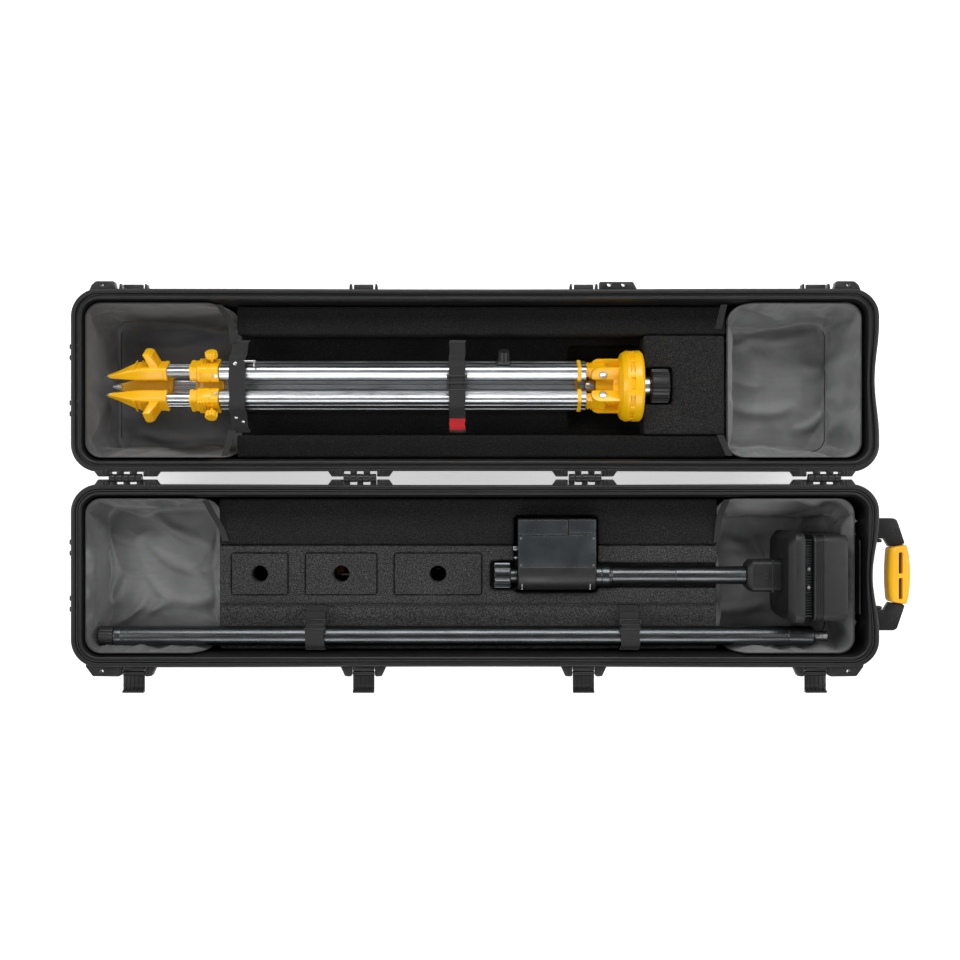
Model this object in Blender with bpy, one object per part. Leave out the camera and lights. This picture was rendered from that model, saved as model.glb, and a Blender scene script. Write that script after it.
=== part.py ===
"""Surveying station kit in a long hard transport case, opened flat.

Metres. X runs along the case towards the carrying handle, Y from the base towards the hinges and lid,
Z is up. The origin is the middle of the underside of the base shell.
"""

import math

import bmesh
import bpy
from mathutils import Matrix, Vector

for leftover in list(bpy.data.objects):
    bpy.data.objects.remove(leftover, do_unlink=True)

# ---------------------------------------------------------------- driving dimensions

RIM_HALF_X = 0.626
RIM_HALF_Y = 0.142
RIM_RADIUS = 0.043
RIM_Z = 0.1495
INNER_INSET = 0.0205
FLOOR_Z = 0.010
LUG_TOP = 0.1455
LID_Y = 0.303
HINGE_Y = 0.1515
HINGE_Z = 0.150
BASE_DENT = 0.010
LID_DENT = 0.007
DENT_HALF_WIDTH = 0.090
BORE_GAP = 0.0006

HINGE_X = (-0.5396, -0.1778, 0.1700, 0.5395)
KNUCKLE_RADIUS = 0.0066
HINGE_PIN_RADIUS = 0.0025
HINGE_PIN_HALF = 0.0250

LATCH_X = (-0.5300, -0.1730, 0.1685, 0.5287)
LATCH_Y = -0.1520
LATCH_Z = 0.1380
LATCH_HALF_WIDTH = 0.0165
LATCH_LENGTH = 0.0295
LATCH_PIN_RADIUS = 0.0016
EYE_X = 0.5790
EYE_OUT = 0.1486
EYE_RADIUS = 0.0034

HANDLE_X = 0.634
HANDLE_Z = 0.110
HANDLE_PIN_RADIUS = 0.0030
GRIP_HALF = 0.0424
GRIP_SLANT = 0.17
ARM_IN = 0.0560
ARM_OUT = 0.0885
EAR_IN = 0.0500
EAR_OUT = 0.0554

WHEEL_X = -0.586
WHEEL_Z = 0.031
WHEEL_Y = 0.101
WHEEL_RADIUS = 0.026
WHEEL_HALF_WIDTH = 0.012
AXLE_RADIUS = 0.004
AXLE_HALF = 0.1195

FOAM_LEFT = -0.404
FOAM_RIGHT = 0.3825
FOAM_HALF_Y = 0.1195
FOAM_BOTTOM = 0.0108
FOAM_TOP = 0.110
INSERT_BACK_Y = 0.0450
INSERT_FRONT_Y = -0.0470
FRONT_TOP = 0.1035
PLUG_SPANS = ((-0.3853, -0.2954), (-0.2686, -0.1549), (-0.1281, 0.0109))
PLUG_HALF_Y = 0.0331
PLUG_BOTTOM = 0.068
PLUG_GAP = 0.0006
PLUG_HOLE_RADIUS = 0.013

POLE_Y = -0.0967
POLE_Z = 0.1145
POLE_RADIUS = 0.0155
POLE_LEFT = -0.5915
POLE_CAP_END = -0.5670
POLE_RIGHT = 0.5330
POLE_STUD_END = 0.5530
BASE_STRAP_X = (-0.2504, 0.2425)
STRAP_HALF_WIDTH = 0.0146
STRAP_HALF_THICK = 0.0009

AXIS_Y = -0.002
AXIS_Z = 0.107
MAST_RADIUS = 0.0142
COLLAR_RADIUS = 0.0172
BOX_LEFT = 0.0670
BOX_RIGHT = 0.1890
BOX_FRONT = -0.0246
BOX_BACK = 0.0876
BOX_BOTTOM = 0.0730
BOX_TOP = 0.1380
DOOR_FRONT = 0.0628
DOOR_RIGHT = 0.1448
DOOR_BOTTOM = 0.1270
DOOR_HINGE_Y = 0.0866
DOOR_RELIEF = 0.0018
DOOR_CHAMFER = 0.0060
DOOR_HINGE_Z = 0.1360
TRAY_HALF = 0.0695
COVER_HALF = 0.0662
FIN_HALF = 0.0600

LID_FOAM_LEFT = -0.3762
LID_FOAM_RIGHT = 0.3962
CHANNEL_FRONT = 0.2195
CHANNEL_BACK = 0.3770
CHANNEL_FLOOR = 0.0600
TRIPOD_Y = 0.297
TRIPOD_Z = 0.102
LEG_ANGLES = (30.0, 150.0, 270.0)
LEG_HALF_WIDTH = 0.018
LEG_INNER = 0.015
LEG_OUTER = 0.039
LEG_WALL = 0.0028
LEG_START = 0.165
LEG_END = -0.4000
LEG_PIVOT_X = 0.200
LEG_PIVOT_RADIAL = 0.028
LEG_PIN_RADIUS = 0.0030
CLAMP_END = -0.4460
CLAMP_START = -0.4006
TUBE_END = -0.4815
TUBE_START = -0.2500
SHOE_TOP = -0.4820
SHOE_TIP = -0.5830
LEVER_X = -0.412
HEAD_BACK = 0.2245
HEAD_FRONT = 0.2630
HEAD_RADIUS = 0.056
SCREW_RADIUS = 0.0080
SCREW_KNOB_RADIUS = 0.0277
LID_STRAP_X = (-0.3700, -0.0280)

# name: (base colour, metallic, roughness)
LOOKS = {
    "case_plastic": ((0.012, 0.012, 0.013), 0.0, 0.45),
    "seal_rubber": ((0.010, 0.010, 0.010), 0.0, 0.75),
    "steel": ((0.62, 0.62, 0.63), 1.0, 0.30),
    "foam": ((0.040, 0.040, 0.042), 0.0, 0.95),
    "nylon": ((0.085, 0.087, 0.090), 0.0, 0.80),
    "webbing": ((0.015, 0.015, 0.016), 0.0, 0.85),
    "yellow_plastic": ((0.90, 0.47, 0.010), 0.0, 0.40),
    "tyre_rubber": ((0.012, 0.012, 0.012), 0.0, 0.85),
    "black_plastic": ((0.016, 0.016, 0.018), 0.0, 0.50),
    "board_green": ((0.020, 0.120, 0.050), 0.0, 0.55),
    "black_aluminium": ((0.030, 0.030, 0.033), 0.8, 0.45),
    "aluminium": ((0.66, 0.68, 0.70), 1.0, 0.32),
    "yellow_paint": ((0.90, 0.47, 0.010), 0.0, 0.35),
}


# ---------------------------------------------------------------- shapes, as (vertices, faces)

def box(low, high):
    """A box between two opposite corners."""
    (x0, y0, z0), (x1, y1, z1) = low, high
    verts = [(x, y, z) for x in (x0, x1) for y in (y0, y1) for z in (z0, z1)]
    faces = [(0, 1, 3, 2), (4, 6, 7, 5), (0, 4, 5, 1), (2, 3, 7, 6), (0, 2, 6, 4), (1, 5, 7, 3)]
    return verts, faces


def loft(rings, closed=False):
    """Skin between rings of equally many points; capped at both ends unless the last ring meets the first."""
    count = len(rings[0])
    verts = [point for ring in rings for point in ring]
    faces = []
    last = len(rings) if closed else len(rings) - 1
    for i in range(last):
        a = i * count
        b = ((i + 1) % len(rings)) * count
        for k in range(count):
            n = (k + 1) % count
            faces.append((a + k, a + n, b + n, b + k))
    if not closed:
        faces.append(tuple(range(count)))
        faces.append(tuple(reversed(range(a + count, a + 2 * count))))
    return verts, faces


def circle(radius, sides, height, phase=0.5):
    """Points of a circle in the local XY plane, flats on the axes."""
    step = 2.0 * math.pi / sides
    return [
        (radius * math.cos((k + phase) * step), radius * math.sin((k + phase) * step), height)
        for k in range(sides)
    ]


def turned(stations, sides, axis, centre):
    """A solid of revolution through (distance along the axis, radius) stations."""
    return placed(loft([circle(r, sides, d) for d, r in stations]), axis, centre)


def turned_ring(stations, sides, axis, centre):
    """A ring of revolution: the stations are a closed section round the axis."""
    return placed(loft([circle(r, sides, d) for d, r in stations], closed=True), axis, centre)


def placed(shape, axis, centre):
    """The local Z axis laid along a world axis or vector, then moved to the centre."""
    direction = {"x": (1, 0, 0), "y": (0, 1, 0), "z": (0, 0, 1)}.get(axis, axis)
    spin = Vector((0, 0, 1)).rotation_difference(Vector(direction)).to_matrix().to_4x4()
    return moved(shape, Matrix.Translation(centre) @ spin)


def moved(shape, matrix):
    verts, faces = shape
    return [tuple(matrix @ Vector(v)) for v in verts], faces


def combined(shapes):
    """Several separate closed shapes as one mesh."""
    verts, faces = [], []
    for shape_verts, shape_faces in shapes:
        start = len(verts)
        verts.extend(shape_verts)
        faces.extend(tuple(start + i for i in face) for face in shape_faces)
    return verts, faces


def prism(profile, plane, low, high):
    """A polygon in the xy, yz or xz plane, extruded along the remaining axis."""
    place = {
        "xy": lambda a, b, c: (a, b, c),
        "yz": lambda a, b, c: (c, a, b),
        "xz": lambda a, b, c: (a, c, b),
    }[plane]
    return loft([[place(a, b, level) for a, b in profile] for level in (low, high)])


def rounded_ring(half_x, half_y, radius, centre, z, dent=0.0):
    """A rounded rectangle with extra points on its +X side, which can be drawn in."""
    cx, cy = centre
    points = []
    for sx, sy, start in ((1, 1, 0), (-1, 1, 90), (-1, -1, 180), (1, -1, 270)):
        for k in range(6):
            angle = math.radians(start + 18 * k)
            x = cx + sx * (half_x - radius) + radius * math.cos(angle)
            y = cy + sy * (half_y - radius) + radius * math.sin(angle)
            points.append((x, y, z))
    for fraction in (-0.98, -0.80, -0.60, -0.30, 0.0, 0.30, 0.60, 0.80, 0.98):
        offset = fraction * DENT_HALF_WIDTH
        depth = dent * 0.5 * (1.0 + math.cos(math.pi * offset / DENT_HALF_WIDTH))
        points.append((cx + half_x - depth, cy + offset, z))
    return points


def plain_ring(half_x, half_y, radius, centre, z, steps=3):
    """A rounded rectangle."""
    cx, cy = centre
    points = []
    for sx, sy, start in ((1, 1, 0), (-1, 1, 90), (-1, -1, 180), (1, -1, 270)):
        for k in range(steps + 1):
            angle = math.radians(start + 90.0 * k / steps)
            x = cx + sx * (half_x - radius) + radius * math.cos(angle)
            y = cy + sy * (half_y - radius) + radius * math.sin(angle)
            points.append((x, y, z))
    return points


def along_x(ring_points):
    """A ring drawn as (y, z, x) turned into world order."""
    return [(c, a, b) for a, b, c in ring_points]


# ---------------------------------------------------------------- nodes

def finish_mesh(name, shape, origin):
    verts, faces = shape
    mesh = bpy.data.meshes.new(name)
    mesh.from_pydata([tuple(Vector(v) - Vector(origin)) for v in verts], [], faces)
    work = bmesh.new()
    work.from_mesh(mesh)
    bmesh.ops.recalc_face_normals(work, faces=work.faces)
    work.to_mesh(mesh)
    work.free()
    obj = bpy.data.objects.new(name, mesh)
    obj.location = origin
    bpy.context.scene.collection.objects.link(obj)
    return obj


def node(name, shape, look, origin=(0.0, 0.0, 0.0)):
    """One named piece with its own material."""
    obj = finish_mesh(name, shape, origin)
    colour, metallic, roughness = LOOKS[look]
    material = bpy.data.materials.new(name + "_material")
    material.use_nodes = True
    shader = material.node_tree.nodes["Principled BSDF"]
    shader.inputs["Base Color"].default_value = (*colour, 1.0)
    shader.inputs["Metallic"].default_value = metallic
    shader.inputs["Roughness"].default_value = roughness
    obj.data.materials.append(material)
    return obj


def boolean(obj, shape, operation, label):
    tool = finish_mesh(obj.name + "_" + label, shape, (0.0, 0.0, 0.0))
    tool.hide_render = True
    tool.display_type = "WIRE"
    modifier = obj.modifiers.new(label, "BOOLEAN")
    modifier.operation = operation
    modifier.solver = "EXACT"
    modifier.object = tool


def add(obj, shape, label="extra"):
    boolean(obj, shape, "UNION", label)


def cut(obj, shape, label="cut"):
    boolean(obj, shape, "DIFFERENCE", label)


# ---------------------------------------------------------------- case shells

def shell_rings(centre_y, dent):
    """Outside from the underside up, over the grooved rim, then down the inside to the floor."""
    stations = (
        (0.0260, 0.0000, 0.00),
        (0.0180, 0.0020, 0.00),
        (0.0150, 0.0120, 0.00),
        (0.0095, 0.1160, 0.30),
        (0.0000, 0.1225, 1.00),
        (0.0000, 0.1485, 1.00),
        (0.0010, RIM_Z, 1.00),
        (0.0065, RIM_Z, 0.76),
        (0.0070, 0.1460, 0.75),
        (0.0125, 0.1460, 0.65),
        (0.0130, RIM_Z, 0.64),
        (INNER_INSET, RIM_Z, 0.15),
        (0.0208, 0.0130, 0.00),
        (0.0212, FLOOR_Z, 0.00),
    )
    return [
        rounded_ring(
            RIM_HALF_X - inset, RIM_HALF_Y - inset, RIM_RADIUS - inset, (0.0, centre_y), z, dent * share
        )
        for inset, z, share in stations
    ]


def hinge_side(sign, knuckle_spans):
    """Knuckles, their arms and the wedge lugs beside them; sign -1 for the base, +1 for the lid."""
    near = HINGE_Y + sign * 0.0018
    rim = HINGE_Y + sign * 0.0130
    knuckles, arms, lugs = [], [], []
    for x0 in HINGE_X:
        for left, right in knuckle_spans:
            low = (x0 + left, min(HINGE_Y, rim), 0.1390)
            high = (x0 + right, max(HINGE_Y, rim), 0.1490)
            arms.append(box(low, high))
            stations = ((left - 0.0002, KNUCKLE_RADIUS), (right + 0.0002, KNUCKLE_RADIUS))
            knuckles.append(turned(stations, 12, "x", (x0, HINGE_Y, HINGE_Z)))
        for side in (-1, 1):
            profile = [
                (x0 + side * 0.0262, rim),
                (x0 + side * 0.0520, rim),
                (x0 + side * 0.0440, near),
                (x0 + side * 0.0262, near),
            ]
            lugs.append(prism(profile, "xy", 0.1300, 0.1490))
    bores = [
        turned(
            ((-0.0256, HINGE_PIN_RADIUS + BORE_GAP), (0.0256, HINGE_PIN_RADIUS + BORE_GAP)),
            12, "x", (x0, HINGE_Y, HINGE_Z),
        )
        for x0 in HINGE_X
    ]
    return knuckles, arms, lugs, bores


def end_ribs(centre_y):
    """Upright bumps on the end wall away from the handle."""
    ribs = []
    for offset in (-0.052, -0.035, 0.035, 0.052):
        y = centre_y + offset
        ribs.append(box((-0.6290, y - 0.004, 0.0900), (-0.6120, y + 0.004, LUG_TOP)))
    return ribs


def latch_ears():
    """Lugs beside each latch with its pin across, and the corner lugs with padlock eyes."""
    pieces, pins = [], []
    for x0 in LATCH_X:
        inner = -1 if x0 > 0 else 1
        for side in (-1, 1):
            near = x0 + side * 0.0175
            if abs(x0) > 0.4 and side != inner:
                profile = [
                    (near, -0.1300),
                    (near + side * 0.0565, -0.1260),
                    (near + side * 0.0545, -0.1430),
                    (near + side * 0.0440, -0.1565),
                    (near, -0.1565),
                ]
            else:
                profile = [
                    (near, -0.1340),
                    (near + side * 0.0210, -0.1340),
                    (near + side * 0.0100, -0.1565),
                    (near, -0.1565),
                ]
            pieces.append(prism(profile, "xy", 0.1300, LUG_TOP))
        half = LATCH_HALF_WIDTH + 0.0040
        pins.append(
            turned(((-half, LATCH_PIN_RADIUS), (half, LATCH_PIN_RADIUS)), 10, "x", (x0, LATCH_Y, LATCH_Z))
        )
    eyes = [
        turned(((-0.05, EYE_RADIUS), (0.05, EYE_RADIUS)), 12, "z", (sign * EYE_X, -EYE_OUT, 0.14))
        for sign in (-1, 1)
    ]
    return pieces, pins, eyes


def keepers():
    """Ledges the latches hook over, and the lugs with padlock eyes, on the lid's free edge."""
    rim = LID_Y + 0.1340
    pieces, eyes = [], []
    for x0 in LATCH_X:
        pieces.append(box((x0 - 0.0150, rim, 0.1370), (x0 + 0.0150, LID_Y + 0.1490, 0.1435)))
    for sign in (-1, 1):
        corner = [
            (sign * 0.5550, rim),
            (sign * 0.6030, rim - 0.006),
            (sign * 0.5950, LID_Y + 0.1480),
            (sign * 0.5880, LID_Y + 0.1540),
            (sign * 0.5600, LID_Y + 0.1540),
        ]
        pieces.append(prism(corner, "xy", 0.1280, LUG_TOP))
        eyes.append((sign * EYE_X, LID_Y + EYE_OUT))
        middle = [
            (sign * 0.1930, rim),
            (sign * 0.2550, rim),
            (sign * 0.2450, LID_Y + 0.1530),
            (sign * 0.1930, LID_Y + 0.1530),
        ]
        pieces.append(prism(middle, "xy", 0.1280, LUG_TOP))
        eyes.append((sign * 0.2080, LID_Y + EYE_OUT))
        eyes.append((sign * 0.2300, LID_Y + EYE_OUT))
    holes = [turned(((-0.05, EYE_RADIUS), (0.05, EYE_RADIUS)), 12, "z", (x, y, 0.14)) for x, y in eyes]
    return pieces, holes


def build_base_shell():
    shell = node("base_shell", loft(shell_rings(0.0, BASE_DENT)), "case_plastic")
    spans = ((-0.0250, -0.0122), (0.0122, 0.0250))
    knuckles, arms, lugs, bores = hinge_side(-1, spans)
    ears, pins, eyes = latch_ears()
    wells = []
    for sign in (-1, 1):
        low = min(sign * 0.0780, sign * 0.1235)
        high = max(sign * 0.0780, sign * 0.1235)
        wells.append(box((-0.6080, low, 0.0060), (-0.5480, high, 0.0670)))
    handle_ears = []
    for sign in (-1, 1):
        low = min(sign * EAR_IN, sign * EAR_OUT)
        high = max(sign * EAR_IN, sign * EAR_OUT)
        handle_ears.append(box((0.6080, low, 0.1035), (0.6405, high, 0.1165)))
    add(shell, combined(arms + lugs + ears + wells + handle_ears + end_ribs(0.0)), "lugs")
    handle_pins = [
        turned(
            ((-0.0110, HANDLE_PIN_RADIUS), (0.0110, HANDLE_PIN_RADIUS)), 12, "y",
            (HANDLE_X, sign * 0.0612, HANDLE_Z),
        )
        for sign in (-1, 1)
    ]
    add(shell, combined(knuckles + pins + handle_pins), "pins")
    pockets = []
    for sign in (-1, 1):
        low = min(sign * 0.0860, sign * 0.1160)
        high = max(sign * 0.0860, sign * 0.1160)
        pockets.append(box((-0.7000, low, -0.0200), (-0.5560, high, 0.0600)))
    cut(shell, combined(bores + eyes + pockets), "pockets")
    axle_bore = AXLE_RADIUS + BORE_GAP
    axle_way = turned(((-0.1205, axle_bore), (0.1205, axle_bore)), 12, "y", (WHEEL_X, 0.0, WHEEL_Z))
    cut(shell, axle_way, "axle_way")
    return shell


def build_lid_shell():
    shell = node("lid_shell", loft(shell_rings(LID_Y, LID_DENT)), "case_plastic",
                 origin=(0.0, HINGE_Y, HINGE_Z))
    knuckles, arms, lugs, bores = hinge_side(1, ((-0.0112, 0.0112),))
    ledges, eyes = keepers()
    add(shell, combined(arms + lugs + ledges + end_ribs(LID_Y)), "lugs")
    add(shell, combined(knuckles), "knuckles")
    cut(shell, combined(bores + eyes), "holes")
    return shell


def build_rim_seal():
    rings = []
    for inset, z, share in (
        (0.0117, 0.1464, 0.67), (0.0078, 0.1464, 0.73), (0.0078, 0.1500, 0.73), (0.0117, 0.1500, 0.67)
    ):
        rings.append(
            rounded_ring(
                RIM_HALF_X - inset, RIM_HALF_Y - inset, RIM_RADIUS - inset, (0.0, 0.0), z, BASE_DENT * share
            )
        )
    node("rim_seal", loft(rings, closed=True), "seal_rubber")


def build_hinge_pins():
    for i, x0 in enumerate(HINGE_X):
        stations = ((-HINGE_PIN_HALF, HINGE_PIN_RADIUS), (HINGE_PIN_HALF, HINGE_PIN_RADIUS))
        node("hinge_pin_%d" % (i + 1), turned(stations, 12, "x", (x0, HINGE_Y, HINGE_Z)), "steel")


def build_latches():
    for i, x0 in enumerate(LATCH_X):
        left, right = x0 - LATCH_HALF_WIDTH, x0 + LATCH_HALF_WIDTH
        end = LATCH_Y - LATCH_LENGTH
        plate = prism(
            [
                (LATCH_Y - 0.0005, 0.1366), (LATCH_Y - 0.0005, 0.1400),
                (end + 0.0038, 0.1400), (end + 0.0038, 0.1462),
                (end, 0.1462), (end, 0.1366),
            ],
            "yz", left, right,
        )
        latch = node("latch_%d" % (i + 1), plate, "black_plastic", origin=(x0, LATCH_Y, LATCH_Z))
        half = LATCH_HALF_WIDTH
        add(latch, turned(((-half, 0.0042), (half, 0.0042)), 12, "x", (x0, LATCH_Y, LATCH_Z)), "barrel")
        bore = LATCH_PIN_RADIUS + BORE_GAP
        cut(latch, turned(((-0.03, bore), (0.03, bore)), 10, "x", (x0, LATCH_Y, LATCH_Z)), "bore")


def build_handle():
    origin = (HANDLE_X, 0.0, HANDLE_Z)
    bar = box((0.6590, -0.0520, 0.1045), (0.6740, 0.0520, 0.1155))
    frame = node("handle_frame", bar, "black_plastic", origin=origin)
    arms = []
    for sign in (-1, 1):
        outline = [
            (0.6275, sign * ARM_IN), (0.6275, sign * ARM_OUT), (0.6590, sign * ARM_OUT),
            (0.6640, sign * 0.0850), (0.6765, sign * 0.0482), (0.6510, sign * 0.0436),
            (0.6440, sign * ARM_IN),
        ]
        arms.append(prism(outline, "xy", 0.1025, 0.1175))
    add(frame, combined(arms), "arms")
    bore = HANDLE_PIN_RADIUS + BORE_GAP
    cut(frame, turned(((-0.12, bore), (0.12, bore)), 12, "y", (HANDLE_X, 0.0, HANDLE_Z)), "bore")
    rings = []
    for share, half_x, half_z, middle in (
        (-1.00, 0.0138, 0.0140, 0.6642), (-0.90, 0.0150, 0.0155, 0.6646), (-0.45, 0.0174, 0.0155, 0.6655),
        (0.0, 0.0182, 0.0155, 0.6658), (0.45, 0.0174, 0.0155, 0.6655), (0.90, 0.0150, 0.0155, 0.6646),
        (1.00, 0.0138, 0.0140, 0.6642),
    ):
        ring = plain_ring(half_x, half_z, 0.007, (middle, HANDLE_Z), 0.0)
        rings.append([(a, share * (GRIP_HALF + GRIP_SLANT * (a - 0.6504)), b) for a, b, _ in ring])
    grip = node("handle_grip", loft(rings), "yellow_plastic", origin=origin)
    cut(grip, box((0.6583, -0.06, 0.1038), (0.6747, 0.06, 0.1162)), "bore")


def build_wheels():
    node("wheel_axle", turned(((-AXLE_HALF, AXLE_RADIUS), (AXLE_HALF, AXLE_RADIUS)), 12, "y",
                              (WHEEL_X, 0.0, WHEEL_Z)), "steel")
    bore = AXLE_RADIUS + BORE_GAP
    half = WHEEL_HALF_WIDTH
    section = (
        (-half, bore), (-half, WHEEL_RADIUS - 0.003), (-half + 0.003, WHEEL_RADIUS),
        (half - 0.003, WHEEL_RADIUS), (half, WHEEL_RADIUS - 0.003), (half, bore),
    )
    for name, sign in (("wheel_front", -1), ("wheel_back", 1)):
        centre = (WHEEL_X, sign * WHEEL_Y, WHEEL_Z)
        node(name, turned_ring(section, 20, "y", centre), "tyre_rubber", origin=centre)


# ---------------------------------------------------------------- linings

def tub(name, span_x, centre_y, half_y, floor_z, top_z, thick, low_x, low_z, origin=(0.0, 0.0, 0.0)):
    """An open tray of sewn fabric whose wall near low_x is cut down to low_z."""
    centre_x = 0.5 * (span_x[0] + span_x[1])
    half_x = 0.5 * (span_x[1] - span_x[0])
    rings = []
    for inset, z in ((0.0, floor_z), (0.0, top_z), (thick, top_z), (thick, floor_z + thick)):
        ring = plain_ring(half_x - inset, half_y - inset, 0.024 - inset, (centre_x, centre_y), z)
        if z == top_z:
            ring = [(x, y, low_z if abs(x - low_x) < 0.026 else z) for x, y, z in ring]
        rings.append(ring)
    return node(name, loft(rings), "nylon", origin=origin)


def build_base_linings():
    back = node("base_foam_back",
                box((FOAM_LEFT, INSERT_BACK_Y + 0.0008, FOAM_BOTTOM), (FOAM_RIGHT, FOAM_HALF_Y, FOAM_TOP)),
                "foam")
    box_pocket = box((BOX_LEFT - 0.005, BOX_FRONT - 0.005, BOX_BOTTOM - 0.004),
                     (BOX_RIGHT + 0.005, BOX_BACK + 0.005, 0.2))
    cut(back, box_pocket, "box_pocket")

    profile = [
        (-FOAM_HALF_Y, FOAM_BOTTOM), (INSERT_BACK_Y, FOAM_BOTTOM), (INSERT_BACK_Y, FOAM_TOP),
        (INSERT_FRONT_Y, FOAM_TOP), (INSERT_FRONT_Y, FRONT_TOP), (-FOAM_HALF_Y, FRONT_TOP),
    ]
    insert = node("base_foam_insert", prism(profile, "yz", FOAM_LEFT, FOAM_RIGHT), "foam")
    groove = POLE_RADIUS + 0.0008
    cut(insert, turned(((-0.7, groove), (0.7, groove)), 16, "x", (0.0, POLE_Y, POLE_Z)), "pole_groove")
    wide, deep = [], []
    for left, right in PLUG_SPANS:
        wide.append(box((left, -PLUG_HALF_Y, PLUG_BOTTOM - PLUG_GAP), (right, PLUG_HALF_Y, 0.2)))
        deep.append(box((left + 0.006, -PLUG_HALF_Y + 0.006, 0.030),
                        (right - 0.006, PLUG_HALF_Y - 0.006, 0.080)))
    cut(insert, combined(wide), "plug_pockets")
    cut(insert, combined(deep), "deep_pockets")
    knob_way = box((0.0240, AXIS_Y - 0.0225, AXIS_Z - 0.0225), (0.0640, AXIS_Y + 0.0225, 0.2))
    mast_way = box((0.1500, AXIS_Y - 0.0195, AXIS_Z - 0.0195), (0.5000, AXIS_Y + 0.0195, 0.2))
    cut(insert, combined([knob_way, mast_way]), "instrument_way")
    cut(insert, box_pocket, "box_pocket")

    for i, (left, right) in enumerate(PLUG_SPANS):
        plug = node("foam_plug_%d" % (i + 1),
                    box((left + PLUG_GAP, -PLUG_HALF_Y + PLUG_GAP, PLUG_BOTTOM),
                        (right - PLUG_GAP, PLUG_HALF_Y - PLUG_GAP, FOAM_TOP)), "foam")
        middle = 0.5 * (left + right)
        hole = turned(((-0.1, PLUG_HOLE_RADIUS), (0.1, PLUG_HOLE_RADIUS)), 16, "z", (middle, 0.0, 0.1))
        cut(plug, hole, "finger_hole")

    half_y = RIM_HALF_Y - INNER_INSET - 0.0017
    tub("base_liner_left", (-0.6038, FOAM_LEFT - 0.0008), 0.0, half_y, 0.0690, 0.1470, 0.0025,
        FOAM_LEFT, 0.0920)
    tub("base_liner_right", (FOAM_RIGHT + 0.0008, 0.5880), 0.0, half_y, 0.0145, 0.1470, 0.0025,
        FOAM_RIGHT, 0.0820)


def strap_profile(points):
    """A flat band of constant thickness through the given centre line in the YZ plane."""
    upper, lower = [], []
    for i, point in enumerate(points):
        before = Vector(points[max(i - 1, 0)])
        after = Vector(points[min(i + 1, len(points) - 1)])
        direction = (after - before).normalized()
        normal = Vector((-direction.y, direction.x)) * STRAP_HALF_THICK
        upper.append(tuple(Vector(point) + normal))
        lower.append(tuple(Vector(point) - normal))
    return upper + lower[::-1]


def build_straps():
    over_pole = [
        (-0.0500, 0.1050), (-0.0600, 0.1150), (-0.0780, 0.1290), (-0.0880, 0.1324),
        (-0.1055, 0.1324), (-0.1140, 0.1275), (-0.1180, 0.1150), (-0.1185, 0.1050),
    ]
    for name, x0 in zip(("base_strap_left", "base_strap_right"), BASE_STRAP_X):
        node(name, prism(strap_profile(over_pole), "yz", x0 - STRAP_HALF_WIDTH, x0 + STRAP_HALF_WIDTH),
             "webbing")
    top = 0.1396
    over_legs = [
        (0.2245, 0.0950), (0.2300, 0.1100), (0.2480, 0.1250), (0.2620, top),
        (0.3320, top), (0.3460, 0.1250), (0.3640, 0.1100), (0.3700, 0.0950),
    ]
    for name, x0 in zip(("lid_strap_left", "lid_strap_mid"), LID_STRAP_X):
        node(name, prism(strap_profile(over_legs), "yz", x0 - 0.0125, x0 + 0.0125), "webbing",
             origin=(0.0, HINGE_Y, HINGE_Z))


def build_lid_linings():
    pivot = (0.0, HINGE_Y, HINGE_Z)
    front, back = LID_Y - FOAM_HALF_Y, LID_Y + FOAM_HALF_Y
    profile = [
        (front, FOAM_BOTTOM), (back, FOAM_BOTTOM), (back, FOAM_TOP), (CHANNEL_BACK, FOAM_TOP),
        (CHANNEL_BACK, CHANNEL_FLOOR), (CHANNEL_FRONT, CHANNEL_FLOOR), (CHANNEL_FRONT, FOAM_TOP),
        (front, FOAM_TOP),
    ]
    foam = node("lid_foam", prism(profile, "yz", LID_FOAM_LEFT, LID_FOAM_RIGHT), "foam", origin=pivot)
    cut(foam, box((0.1500, CHANNEL_FRONT + 0.012, 0.0370), (0.2680, CHANNEL_BACK - 0.012, 0.2)),
        "head_pocket")
    block = node("lid_foam_block",
                 box((0.2655, CHANNEL_FRONT + 0.0006, CHANNEL_FLOOR + 0.0006),
                     (0.3930, CHANNEL_BACK - 0.0006, 0.1150)), "foam", origin=pivot)
    notch = SCREW_KNOB_RADIUS + 0.0014
    cut(block, box((0.2000, TRIPOD_Y - notch, TRIPOD_Z - notch), (0.3100, TRIPOD_Y + notch, 0.2)), "notch")
    half_y = RIM_HALF_Y - INNER_INSET - 0.0017
    tub("lid_liner_left", (-0.6038, LID_FOAM_LEFT - 0.0008), LID_Y, half_y, 0.0145, 0.1470, 0.0025,
        LID_FOAM_LEFT, 0.0560, origin=pivot)
    tub("lid_liner_right", (LID_FOAM_RIGHT + 0.0008, 0.5990), LID_Y, half_y, 0.0145, 0.1470, 0.0025,
        LID_FOAM_RIGHT, 0.1120, origin=pivot)


# ---------------------------------------------------------------- instrument and pole

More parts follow.
